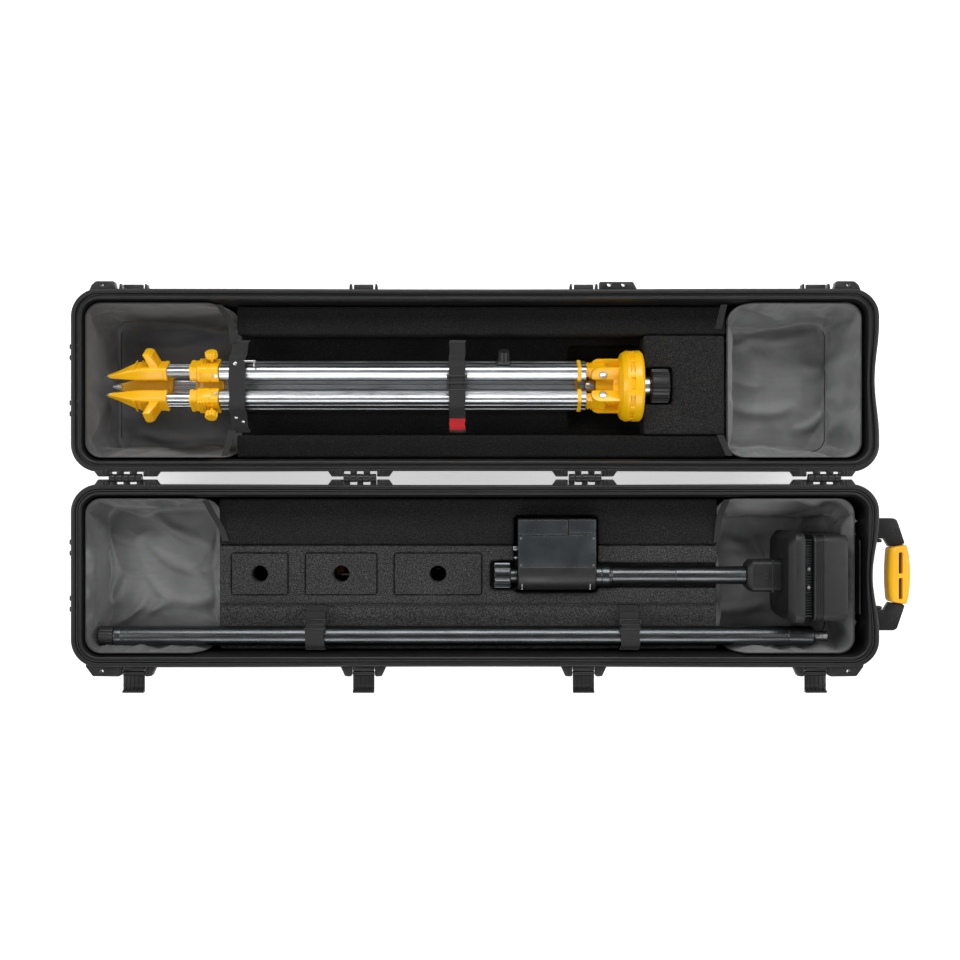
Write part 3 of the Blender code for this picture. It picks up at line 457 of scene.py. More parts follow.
def carve(obj, shapes, operation="DIFFERENCE", angle=32.0):
    """Cuts closed shapes out of an object, one modifier for each."""
    tools = []
    for k, shape in enumerate(shapes):
        tool = object_from("%s_tool_%d" % (obj.name, k), shape, None, 0)
        modifier = obj.modifiers.new("cut_%d" % k, "BOOLEAN")
        modifier.operation, modifier.solver, modifier.object = operation, "EXACT", tool
        tools.append(tool)
    evaluated(obj)
    for tool in tools:
        bpy.data.objects.remove(tool, do_unlink=True)
    obj.data.shade_smooth()
    obj.data.set_sharp_from_angle(angle=math.radians(angle))
    return obj


def join(shapes):
    verts, faces = [], []
    for shape_verts, shape_faces in shapes:
        start = len(verts)
        verts.extend(shape_verts)
        faces.extend(tuple(start + i for i in face) for face in shape_faces)
    return verts, faces


def piece(name, body, material, shapes, replaces=(), angle=32.0, cuts=()):
    obj = object_from(name, join(shapes), material, angle)
    if cuts:
        carve(obj, cuts, angle=angle)
    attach(obj, body)
    if replaces:
        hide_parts(*replaces)
    return obj


# ---------------------------------------------------------------- case shells

def rim_ring(inset, z, share, centre_y, dent, bow):
    """A rounded rectangle, with a hand hollow on its right side and slightly bowed long sides."""
    half_x, half_y, radius = RIM_HALF_X - inset, RIM_HALF_Y - inset, max(RIM_RADIUS - inset, 0.006)
    points = []

    def arc(sx, sy, start):
        for k in range(15):
            angle = math.radians(start + 90.0 * k / 14)
            points.append([sx * (half_x - radius) + radius * math.cos(angle),
                           sy * (half_y - radius) + radius * math.sin(angle)])

    arc(1, 1, 0)
    for k in range(1, 72):
        points.append([(half_x - radius) * (1 - 2 * k / 72), half_y])
    arc(-1, 1, 90)
    for k in range(1, 14):
        points.append([-half_x, (half_y - radius) * (1 - 2 * k / 14)])
    arc(-1, -1, 180)
    for k in range(1, 72):
        points.append([-(half_x - radius) * (1 - 2 * k / 72), -half_y])
    arc(1, -1, 270)
    for k in range(1, 40):
        y = -(half_y - radius) * (1 - 2 * k / 40)
        hollow = 0.5 * (1.0 + math.cos(math.pi * min(abs(y) / 0.090, 1.0)))
        points.append([half_x - dent * share * hollow, y])
    result = []
    for x, y in points:
        lean = bow * share * (0.5 + 0.5 * math.cos(math.pi * min(abs(x) / 0.55, 1.0)))
        y -= math.copysign(lean, y) * min(abs(y) / half_y, 1.0) ** 8
        result.append((x, centre_y + y, z))
    return result


def shell_profile():
    """(inset, height, share of the hand hollow) from the underside, over the rim, to the inside floor."""
    outline = [
        (0.0700, 0.0030), (0.0440, 0.0030), (0.0420, 0.0000), (0.0190, 0.0000), (0.0152, 0.0110),
        (0.0102, 0.1060), (0.0098, 0.1160), (0.0002, 0.1215), (0.0000, 0.1492), (0.0074, 0.1492),
        (0.0080, 0.1448), (0.0116, 0.1448), (0.0122, 0.1486), (0.0160, 0.1484), (0.0200, 0.1405),
        (0.0208, 0.0150), (0.0300, 0.0102), (0.0700, 0.0100),
    ]
    radii = [0, 0.001, 0.001, 0.009, 0.009, 0.004, 0.003, 0.0035, 0.0062, 0.0012,
             0.0008, 0.0008, 0.0016, 0.0030, 0.0030, 0.006, 0.004, 0]
    shares = []
    for inset, z in eased(outline, radii, 4):
        if z > 0.118:
            share = max(0.10, 1.0 - 42.0 * max(inset - 0.001, 0.0)) if inset < 0.021 else 0.1
        else:
            share = max(0.0, 0.35 * (z - 0.02) / 0.098) if inset < 0.0152 else 0.0
        shares.append((inset, z, share))
    return shares


def build_shell(name, body, node, centre_y, dent, cutters):
    profile = shell_profile()
    rings = [rim_ring(i, z, s, centre_y, dent, 0.0012) for i, z, s in profile]
    return piece(name, body, CASE, [loft(rings)], [node], 38.0, cutters)


def wall_ribs(centre_y, skip):
    """Upright stiffening ribs under the rim's overhang, feet and end bumps."""
    shapes = []
    for side in (-1, 1):
        y = centre_y + side * (RIM_HALF_Y - 0.0125)
        for x in np.arange(-0.56, 0.57, 0.0700):
            if (side, round(float(x), 3)) in skip:
                continue
            shapes.append(hard((x - 0.0055, y - 0.0055, 0.0150), (x + 0.0055, y + 0.0055, 0.1195), 0.0024, 3))
        shapes.append(hard((-0.575, y - 0.0040, 0.0980), (0.575, y + 0.0052, 0.1030), 0.0014, 2))
    for offset in (-0.052, -0.035, 0.035, 0.052):
        y = centre_y + offset
        shapes.append(hard((-0.6290, y - 0.0042, 0.0300), (-0.6110, y + 0.0042, LUG_TOP), 0.0020, 3))
    for x in (-0.45, -0.15, 0.15, 0.45):
        for side in (-1, 1):
            y = centre_y + side * 0.0860
            shapes.append(hard((x - 0.030, y - 0.006, 0.0002), (x + 0.030, y + 0.006, 0.0040), 0.0012, 2))
    for x in (-0.30, 0.0, 0.30):
        shapes.append(hard((x - 0.003, centre_y - 0.080, 0.0010), (x + 0.003, centre_y + 0.080, 0.0040),
                           0.0008, 2))
    return shapes


def hinge_shapes(sign, spans):
    near, rim = HINGE_Y + sign * 0.0022, HINGE_Y + sign * 0.0150
    shapes = []
    for x0 in HINGE_X:
        for left, right in spans:
            low, high = sorted((HINGE_Y + sign * 0.0010, rim))
            shapes.append(hard((x0 + left, low, 0.1405), (x0 + right, high, 0.1488), 0.0010))
            shapes.append(turned(((left, 0.0031), (left, 0.0064), (right, 0.0064), (right, 0.0031)), 32,
                                 "x", (x0, HINGE_Y, HINGE_Z), 0.0009))
        for side in (-1, 1):
            profile = [(x0 + side * 0.0262, rim), (x0 + side * 0.0530, rim),
                       (x0 + side * 0.0440, near), (x0 + side * 0.0262, near)]
            shapes.append(soft(prism(profile, "xy", 0.1300, 0.1489), 0.0016, 3))
            for inset in (0.0305, 0.0360):
                shapes.append(hard((x0 + side * inset - 0.0012, min(near, rim) + 0.0015, 0.1480),
                                   (x0 + side * inset + 0.0012, max(near, rim) - 0.0015, 0.1496), 0.0006))
    return shapes


def pierced(name, body, shapes, holes):
    return piece(name, body, CASE, shapes, (), 35.0, holes)


def build_case():
    pockets = []
    for sign in (-1, 1):
        low, high = sorted((sign * 0.0860, sign * 0.1160))
        pockets.append(soft(box((-0.7000, low, -0.0200), (-0.5560, high, 0.0600)), 0.006, 3))
    build_shell("case_base", "case_base", "base_shell", 0.0, 0.010, pockets)
    build_shell("case_lid", "lid", "lid_shell", LID_Y, 0.007, ())
    for sign, side in ((-1, "front"), (1, "back")):
        low, high = sorted((sign * 0.0785, sign * 0.1190))
        housing = hard((-0.6085, low, 0.0060), (-0.5485, high, 0.0665), 0.002)
        piece("wheel_well_" + side, "case_base", CASE, [housing], (), 35.0, pockets)
    piece("base_ribs", "case_base", CASE, wall_ribs(0.0, ()), ())
    piece("lid_ribs", "lid", CASE, wall_ribs(LID_Y, ()), ())

    base_knuckles = ((-0.0250, -0.0158), (-0.0046, 0.0046), (0.0158, 0.0250))
    piece("base_hinges", "case_base", CASE, hinge_shapes(-1, base_knuckles), ())
    piece("lid_hinges", "lid", CASE, hinge_shapes(1, ((-0.0152, -0.0052), (0.0052, 0.0152))), ())
    for n in range(1, 5):
        NODES["hinge_pin_%d" % n].data.materials[0] = STEEL

    seal = [rim_ring(i, z, s, 0.0, 0.010, 0.0012) for i, z, s in (
        (0.0114, 0.1450, 0.67), (0.0082, 0.1450, 0.73), (0.0083, 0.1472, 0.73), (0.0090, 0.1484, 0.72),
        (0.0098, 0.1488, 0.70), (0.0106, 0.1484, 0.68), (0.0113, 0.1472, 0.67))]
    piece("seal_cord", "case_base", RUBBER, [loft(seal, closed=True)], ["rim_seal"], 60.0)

    ears, webs = [], []
    for x0 in LATCH_X:
        inner = -1 if x0 > 0 else 1
        for side in (-1, 1):
            near = x0 + side * 0.0176
            if abs(x0) > 0.4 and side != inner:
                profile = [(near, -0.1300), (near + side * 0.0565, -0.1260), (near + side * 0.0560, -0.1410),
                           (near + side * 0.0450, -0.1560), (near + side * 0.0050, -0.1565),
                           (near, -0.1540)]
            else:
                profile = [(near, -0.1340), (near + side * 0.0210, -0.1340),
                           (near + side * 0.0110, -0.1558), (near + side * 0.0030, -0.1565),
                           (near, -0.1550)]
            ears.append(soft(prism(profile, "xy", 0.1300, LUG_TOP), 0.0016, 3))
            webs.append(hard((near + side * 0.0040 - 0.0010, -0.1545, 0.1445),
                             (near + side * 0.0040 + 0.0010, -0.1400, 0.1466), 0.0006))
    eyes = [turned(((-0.05, 0.0034), (0.05, 0.0034)), 32, "z", (s * EYE_X, -EYE_OUT, 0.14), 0.0)
            for s in (-1, 1)]
    pierced("latch_ears", "case_base", ears, eyes)
    pins = [turned(((-0.0205, 0.0016), (0.0205, 0.0016)), 16, "x", (x0, LATCH_Y, LATCH_Z), 0.0003)
            for x0 in LATCH_X]
    piece("latch_pins", "case_base", STEEL, pins, ())
    piece("ear_webs", "case_base", CASE, webs, ())

    rim = LID_Y + 0.1340
    lugs, ledges, holes = [], [], []
    for x0 in LATCH_X:
        ledges.append(hard((x0 - 0.0150, rim, 0.1372), (x0 + 0.0150, LID_Y + 0.1488, 0.1434), 0.0008))
        for side in (-1, 1):
            profile = [(x0 + side * 0.0170, rim), (x0 + side * 0.0226, rim),
                       (x0 + side * 0.0214, LID_Y + 0.1490), (x0 + side * 0.0184, LID_Y + 0.1504)]
            lugs.append(soft(prism(profile, "xy", 0.1290, LUG_TOP), 0.0012, 2))
    for sign in (-1, 1):
        corner = [(sign * 0.5550, rim), (sign * 0.6030, rim - 0.006), (sign * 0.5950, LID_Y + 0.1480),
                  (sign * 0.5880, LID_Y + 0.1540), (sign * 0.5600, LID_Y + 0.1540)]
        middle = [(sign * 0.1930, rim), (sign * 0.2550, rim), (sign * 0.2450, LID_Y + 0.1530),
                  (sign * 0.1930, LID_Y + 0.1530)]
        lugs.append(soft(prism(corner, "xy", 0.1280, LUG_TOP), 0.0020, 3))
        lugs.append(soft(prism(middle, "xy", 0.1280, LUG_TOP), 0.0020, 3))
        for x in (sign * EYE_X, sign * 0.2080, sign * 0.2300):
            holes.append(turned(((-0.05, 0.0034), (0.05, 0.0034)), 32, "z", (x, LID_Y + EYE_OUT, 0.14), 0.0))
    pierced("lid_lugs", "lid", lugs, holes)
    piece("latch_ledges", "lid", CASE, ledges, ())


def build_latches():
    for n, x0 in enumerate(LATCH_X, 1):
        end = LATCH_Y - 0.0295
        half = 0.0165
        profile = eased([(LATCH_Y, 0.1366), (end, 0.1366), (end, 0.1462), (end + 0.0036, 0.1462),
                         (end + 0.0044, 0.1402), (LATCH_Y, 0.1402)], 0.0007, 3)
        shapes = [soft(prism(profile, "yz", x0 - half, x0 + half), 0.0007, 2, 40.0)]
        shapes.append(turned(((-half, 0.0023), (-half, 0.0042), (half, 0.0042), (half, 0.0023)), 32, "x",
                             (x0, LATCH_Y, LATCH_Z), 0.0006))
        for offset in (-0.0120, -0.0060, 0.0, 0.0060, 0.0120):
            shapes.append(hard((x0 + offset - 0.0010, end + 0.0050, 0.1395),
                               (x0 + offset + 0.0010, LATCH_Y - 0.0050, 0.1412), 0.0005))
        shapes.append(hard((x0 - half, end + 0.0100, 0.1398), (x0 + half, end + 0.0125, 0.1409), 0.0004))
        shapes.append(hard((x0 - 0.0120, end - 0.0001, 0.1384), (x0 + 0.0120, end + 0.0012, 0.1398), 0.0003))
        rail = hard((x0 - half, -0.1474, 0.1290), (x0 + half, -0.1402, 0.1440), 0.0012)
        piece("latch_%d_rail" % n, "case_base", CASE, [rail], ())
        piece("latch_%d_lever" % n, "latch_%d_body" % n, LATCH, shapes, ["latch_%d" % n])


def build_handle():
    shapes = [hard((0.6592, -0.0520, 0.1048), (0.6738, 0.0520, 0.1152), 0.0022, 3)]
    for sign in (-1, 1):
        outline = [(0.6276, sign * 0.0561), (0.6276, sign * 0.0884), (0.6590, sign * 0.0884),
                   (0.6640, sign * 0.0850), (0.6764, sign * 0.0483), (0.6512, sign * 0.0437),
                   (0.6440, sign * 0.0561), (0.6276, sign * 0.0561)]
        outline = eased(outline, [0, 0.003, 0.004, 0.003, 0.003, 0.002, 0.002, 0], 4)[:-1]
        arm = soft(prism(outline, "xy", 0.1026, 0.1174), 0.0018, 3, 40.0)
        shapes.append(arm)
        for x in (0.6560, 0.6640):
            shapes.append(turned(((0.1166, 0.0030), (0.1180, 0.0030)), 20, "z",
                                 (x, sign * 0.0700, 0.0), 0.0005))
    piece("handle_arms", "handle", LATCH, shapes, ["handle_frame"], 32.0)
    sleeve = []
    for share, width, height, middle in (
            (-1.0, 0.0120, 0.0122, 0.6640), (-0.985, 0.0134, 0.0140, 0.6641), (-0.94, 0.0146, 0.0152, 0.6644),
            (-0.70, 0.0164, 0.0155, 0.6651), (-0.35, 0.0177, 0.0155, 0.6656), (0.0, 0.0182, 0.0155, 0.6658),
            (0.35, 0.0177, 0.0155, 0.6656), (0.70, 0.0164, 0.0155, 0.6651), (0.94, 0.0146, 0.0152, 0.6644),
            (0.985, 0.0134, 0.0140, 0.6641), (1.0, 0.0120, 0.0122, 0.6640)):
        ring = rect_ring(width, height, 0.0085, (middle, 0.1100), 0.0, 8)
        sleeve.append([(a, share * (0.0424 + 0.17 * (a - 0.6504)), b) for a, b, _ in ring])
    slots = []
    for y0, y1 in ((-0.0385, -0.0050), (0.0015, 0.0350)):
        slots.append(soft(box((0.6635, y0, 0.1135), (0.6695, y1, 0.1300)), 0.0020, 3))
        slots.append(soft(box((0.6635, y0, 0.0900), (0.6695, y1, 0.1065)), 0.0020, 3))
    slots.append(box((0.6586, -0.06, 0.1042), (0.6744, 0.06, 0.1158)))
    piece("handle_sleeve", "handle", GRIP, [loft(sleeve)], ["handle_grip"], 32.0, slots)
    trunnions = []
    for sign in (-1, 1):
        low, high = sorted((sign * 0.0500, sign * 0.0554))
        trunnions.append(hard((0.6080, low, 0.1035), (0.6405, high, 0.1165), 0.0022, 3))
        trunnions.append(turned(((-0.0108, 0.0029), (0.0108, 0.0029)), 20, "y",
                                (0.634, sign * 0.0612, 0.110), 0.0004))
    piece("handle_ears", "case_base", CASE, trunnions, ())


def build_wheels():
    NODES["wheel_axle"].data.materials[0] = STEEL
    for name, sign in (("wheel_front", -1), ("wheel_back", 1)):
        centre = (-0.586, sign * 0.101, 0.031)
        half = 0.012
        section = eased([(0.0, 0.0185), (-half, 0.0185), (-half, 0.0250), (-half + 0.0020, 0.0260),
                         (-0.0035, 0.0260), (-0.0035, 0.0248), (-0.0015, 0.0248), (-0.0015, 0.0260),
                         (0.0015, 0.0260), (0.0015, 0.0248), (0.0035, 0.0248), (0.0035, 0.0260),
                         (half - 0.0020, 0.0260), (half, 0.0250), (half, 0.0185), (0.0, 0.0185)], 0.0006, 2)
        tyre = ring_shape(section[:-1], 72, "y", centre)
        hub = ring_shape(eased([(0.0, 0.0046), (-0.0115, 0.0046), (-0.0115, 0.0085), (-0.0060, 0.0095),
                                (-0.0060, 0.0150), (-0.0112, 0.0160), (-0.0112, 0.0187), (0.0112, 0.0187),
                                (0.0112, 0.0160), (0.0060, 0.0150), (0.0060, 0.0095), (0.0115, 0.0085),
                                (0.0115, 0.0046), (0.0, 0.0046)], 0.0006, 2)[:-1], 48, "y", centre)
        spokes = []
        for k in range(6):
            turn = Matrix.Translation(centre) @ Matrix.Rotation(math.radians(60 * k), 4, "Y")
            spokes.append(moved(hard((0.0080, -0.0095, -0.0013), (0.0165, 0.0095, 0.0013), 0.0006), turn))
        piece(name + "_tyre", name + "_body", TYRE, [tyre], [name], 35.0)
        piece(name + "_hub", name + "_body", LATCH, [hub] + spokes, (), 35.0)


# ---------------------------------------------------------------- foam

def foam_piece(name, body, node, material, voxel=0.0024, rough=0.0005):
    """The node's solid with soft cut edges and a slightly uneven face."""
    obj = bpy.data.objects.new(name, NODES[node].data.copy())
    scene.collection.objects.link(obj)
    remesh = obj.modifiers.new("voxels", "REMESH")
    remesh.mode, remesh.voxel_size = "VOXEL", voxel
    evaluated(obj)
    mesh = obj.data
    count = len(mesh.vertices)
    points = np.empty(count * 3)
    mesh.vertices.foreach_get("co", points)
    points = points.reshape(-1, 3)
    normals = np.empty(count * 3)
    mesh.vertices.foreach_get("normal", normals)
    normals = normals.reshape(-1, 3)
    edges = np.empty(len(mesh.edges) * 2, int)
    mesh.edges.foreach_get("vertices", edges)
    edges = edges.reshape(-1, 2)
    degree = np.bincount(edges.ravel(), minlength=count)[:, None]
    for _ in range(2):
        total = np.zeros_like(points)
        np.add.at(total, edges[:, 0], points[edges[:, 1]])
        np.add.at(total, edges[:, 1], points[edges[:, 0]])
        points = 0.5 * points + 0.5 * total / degree
    a = np.sin(points[:, 0] * 61.0 + 1.3 * np.sin(points[:, 1] * 83.0))
    b = np.sin(points[:, 1] * 97.0 + 1.7 * np.sin(points[:, 0] * 47.0) + points[:, 2] * 71.0)
    c = np.sin(points[:, 0] * 233.0 + points[:, 1] * 311.0 + points[:, 2] * 197.0)
    points -= normals * (rough * (0.45 * a * b + 0.25 * c + 0.5))[:, None]
    mesh.vertices.foreach_set("co", points.ravel())
    mesh.materials.clear()
    mesh.materials.append(material)
    mesh.shade_smooth()
    mesh.update()
    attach(obj, body)
    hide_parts(node)
    return obj


def build_foam():
    foam_piece("foam_panel_back", "case_base", "base_foam_back", FOAM_BACK)
    foam_piece("foam_insert", "case_base", "base_foam_insert", FOAM)
    foam_piece("foam_channel", "lid", "lid_foam", FOAM_LID)
    foam_piece("foam_block", "lid", "lid_foam_block", FOAM_BLOCK)
    for n in (1, 2, 3):
        foam_piece("plug_%d" % n, "foam_plug_%d_body" % n, "foam_plug_%d" % n, FOAM, 0.0018, 0.0004)
    clamp = [turned(((0.030, 0.0100), (0.046, 0.0100)), 32, "z", (-0.2230, 0.0030, 0.0), 0.0012),
             hard((-0.2400, -0.0040, 0.0340), (-0.2230, 0.0100, 0.0440), 0.0015)]
    piece("accessory_clamp", "case_base", ORANGE, clamp, ())
    body = [turned(((-0.012, 0.0060), (0.012, 0.0060)), 32, "x", (-0.2060, -0.0060, 0.0400), 0.0012)]
    piece("accessory_body", "case_base", SILVER, body, ())
    hook = [tube_along(smooth_path([(-0.072, -0.002, 0.040), (-0.060, 0.004, 0.044), (-0.048, 0.006, 0.040)],
                                   14), 0.0016, 12),
            tube_along(smooth_path([(-0.066, -0.010, 0.038), (-0.056, -0.007, 0.040),
                                    (-0.046, -0.010, 0.038)], 14), 0.0014, 12)]
    piece("accessory_hook", "case_base", SILVER, hook, ())


# ---------------------------------------------------------------- linings

def tub_rings(x0, x1, y0, y1, top, floor, lean, low_x, low_top, radius=(0.024, 0.022)):
    """Rounded rings down the wall of a sewn tray, round the fold and in over its floor."""
    left, right, front, back = lean
    stations = [(t, 0.0) for t in np.linspace(0.0, 1.0, 13)]
    stations += [(1.0, s) for s in np.linspace(0.06, 0.97, 20)]
    rings = []
    for wall, shrink in stations:
        ease = wall ** 1.6
        ax, bx = x0 + left * ease, x1 - right * ease
        ay, by = y0 + front * ease, y1 - back * ease
        r = radius[0] + (radius[1] - radius[0]) * ease
        cx, cy = 0.5 * (ax + bx), 0.5 * (ay + by)
        hx, hy = 0.5 * (bx - ax) * (1 - shrink), 0.5 * (by - ay) * (1 - shrink)
        r = min(r * (1 - shrink) + 0.0005, 0.98 * hx, 0.98 * hy)
        ring = []
        for sx, sy, start in ((1, 1, 0), (-1, 1, 90), (-1, -1, 180), (1, -1, 270)):
            for k in range(11):
                angle = math.radians(start + 9 * k)
                ring.append([cx + sx * (hx - r) + r * math.cos(angle),
                             cy + sy * (hy - r) + r * math.sin(angle)])
            following = {0: (-1, 1), 90: (-1, -1), 180: (1, -1), 270: (1, 1)}[start]
            end = [cx + following[0] * (hx - r), cy + following[1] * (hy - r)]
            if start in (90, 270):
                end = [cx + sx * hx, cy - sy * (hy - r)]
                begin = [cx + sx * hx, cy + sy * (hy - r)]
            else:
                end = [cx - sx * (hx - r), cy + sy * hy]
                begin = [cx + sx * (hx - r), cy + sy * hy]
            for k in range(1, 26):
                t = k / 26
                ring.append([begin[0] * (1 - t) + end[0] * t, begin[1] * (1 - t) + end[1] * t])
        lip = []
        for x, y in ring:
            near = min(max((abs(x - low_x) - 0.004) / 0.030, 0.0), 1.0)
            rim = low_top + (top - low_top) * near
            z = rim + (floor - rim) * wall
            if wall > 0.9 and shrink < 0.10:
                z += 0.0035 * (1.0 - shrink / 0.10)
            lip.append((x, y, z))
        rings.append(lip)
    return rings


def fold_lift(points, folds):
    """Height of the listed creases: each runs from a to b with a width and a height."""
    total = np.zeros(len(points))
    for a, b, width, height in folds:
        a, b = np.array(a), np.array(b)
        run = b - a
        t = np.clip(((points[:, :2] - a) @ run) / (run @ run), 0.0, 1.0)
        near = a + t[:, None] * run + np.stack([run[1] * 0.10 * np.sin(math.pi * t),
                                                -run[0] * 0.10 * np.sin(math.pi * t)], 1)
        gap = np.linalg.norm(points[:, :2] - near, axis=1)
        total += height * np.exp(-(gap / width) ** 2) * (0.35 + 0.65 * np.sin(math.pi * t) ** 0.7)
    return total


def liner(name, body, node, material, spans, heights, lean, low, folds, seed, seams, unrest=1.0):
    """A sewn tray of nylon: its cloth is simulated a little too large for its frame, so it creases."""
    (x0, x1), (y0, y1) = spans
    rings = tub_rings(x0, x1, y0, y1, heights[1], heights[0], lean, low[0], low[1])
    verts, faces = loft(rings, caps=False)
    count = len(rings[0])
    last = (len(rings) - 1) * count
    verts.append(tuple(np.mean([verts[last + k] for k in range(count)], axis=0)))
    faces += [(last + k, last + (k + 1) % count, len(verts) - 1) for k in range(count)]
    obj = object_from(name, (verts, faces), material, 0, True)
    mesh = obj.data
    rest = np.array(verts)
    normals = np.empty(len(verts) * 3)
    mesh.vertices.foreach_get("normal", normals)
    normals = normals.reshape(-1, 3)
    centre = np.array([(x0 + x1) / 2, (y0 + y1) / 2, heights[1] + 0.05])
    if np.mean(np.sum(normals * (centre - rest), axis=1)) < 0:
        mesh.flip_normals()
        normals = -normals
    hold = np.zeros(len(verts))
    hold[:count] = 1.0
    for seam in seams:
        for ring in range(seam[0], seam[1]):
            for k in seam[2]:
                hold[ring * count + k % count] = 1.0
    moved_points = rest.copy()
    group = obj.vertex_groups.new(name="hold")
    for weight, index in ((1.0, np.nonzero(hold > 0.5)[0]), (0.02, np.nonzero(hold <= 0.5)[0])):
        group.add([int(i) for i in index], weight, "REPLACE")
    rng = np.random.RandomState(seed)
    jitter = normals * (rng.rand(len(verts), 1) * 0.0012)
    mesh.vertices.foreach_set("co", (rest + jitter * (1 - hold)[:, None]).ravel())
    cloth = obj.modifiers.new("cloth", "CLOTH")
    settings = cloth.settings
    settings.quality = 6
    settings.mass = 0.15
    settings.tension_stiffness = 22.0
    settings.compression_stiffness = 22.0
    settings.shear_stiffness = 9.0
    settings.bending_stiffness = 0.9
    settings.vertex_group_mass = "hold"
    settings.shrink_min = -0.075
    settings.effector_weights.gravity = 0.15
    cloth.collision_settings.use_collision = False
    cloth.collision_settings.use_self_collision = False
    cloth.point_cache.frame_start = 1
    cloth.point_cache.frame_end = 26
    for step in range(1, 25):
        scene.frame_set(step)
    graph = bpy.context.evaluated_depsgraph_get()
    settled = obj.evaluated_get(graph).to_mesh()
    flat = np.empty(len(settled.vertices) * 3)
    settled.vertices.foreach_get("co", flat)
    moved_points = flat.reshape(-1, 3).copy()
    obj.evaluated_get(graph).to_mesh_clear()
    obj.modifiers.clear()
    obj.vertex_groups.clear()
    scene.frame_set(1)
    shift = moved_points - rest
    along = np.sum(shift * normals, axis=1)
    inward = np.clip(np.where(along > 0, along, -0.30 * along) * unrest, 0.0, 0.0105)
    slide = shift - along[:, None] * normals
    slide *= np.minimum(1.0, 0.003 / np.maximum(np.linalg.norm(slide, axis=1), 1e-9))[:, None]
    ripple = np.array([noise.noise(Vector((p[0] * 17.0, p[1] * 23.0, seed + p[2] * 15.0))) for p in rest])
    inward += np.clip(0.0016 * ripple + 0.0006, 0.0, 0.003) * unrest
    free = 1.0 - hold
    inward += fold_lift(rest, folds)
    settled = rest + slide * free[:, None] + normals * (inward * free)[:, None]
    settled[:, 2] = np.minimum(settled[:, 2], np.maximum(rest[:, 2], heights[1] - 0.001))
    mesh.vertices.foreach_set("co", settled.ravel())
    mesh.update()
    finer = obj.modifiers.new("finer", "SUBSURF")
    finer.levels = finer.render_levels = 1
    evaluated(obj)
    obj.data.shade_smooth()
    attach(obj, body)
    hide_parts(node)
    rope = []
    for seam in seams:
        if seam[3]:
            path = [settled[ring * count + k % count] + 0.0005 * normals[ring * count + k % count]
                    for ring in range(seam[0], seam[1]) for k in seam[2]]
            rope.append(tube_along([tuple(p) for p in path], 0.00075, 6))
    edge = [settled[k] for k in range(count)]
    edge.append(edge[0])
    tape = []
    for i, p in enumerate(edge):
        q = Vector(p)
        n = Vector(normals[i % count])
        tape.append([tuple(q + n * 0.0009 + Vector((0, 0, 0.0004))),
                     tuple(q + n * 0.0009 - Vector((0, 0, 0.0052))),
                     tuple(q - n * 0.0001 - Vector((0, 0, 0.0052))),
                     tuple(q - n * 0.0001 + Vector((0, 0, 0.0004)))])
    rope.append(loft(tape[:-1], closed=True))
    trim = piece(name + "_piping", body, BINDING, rope, (), 40.0)
    return obj


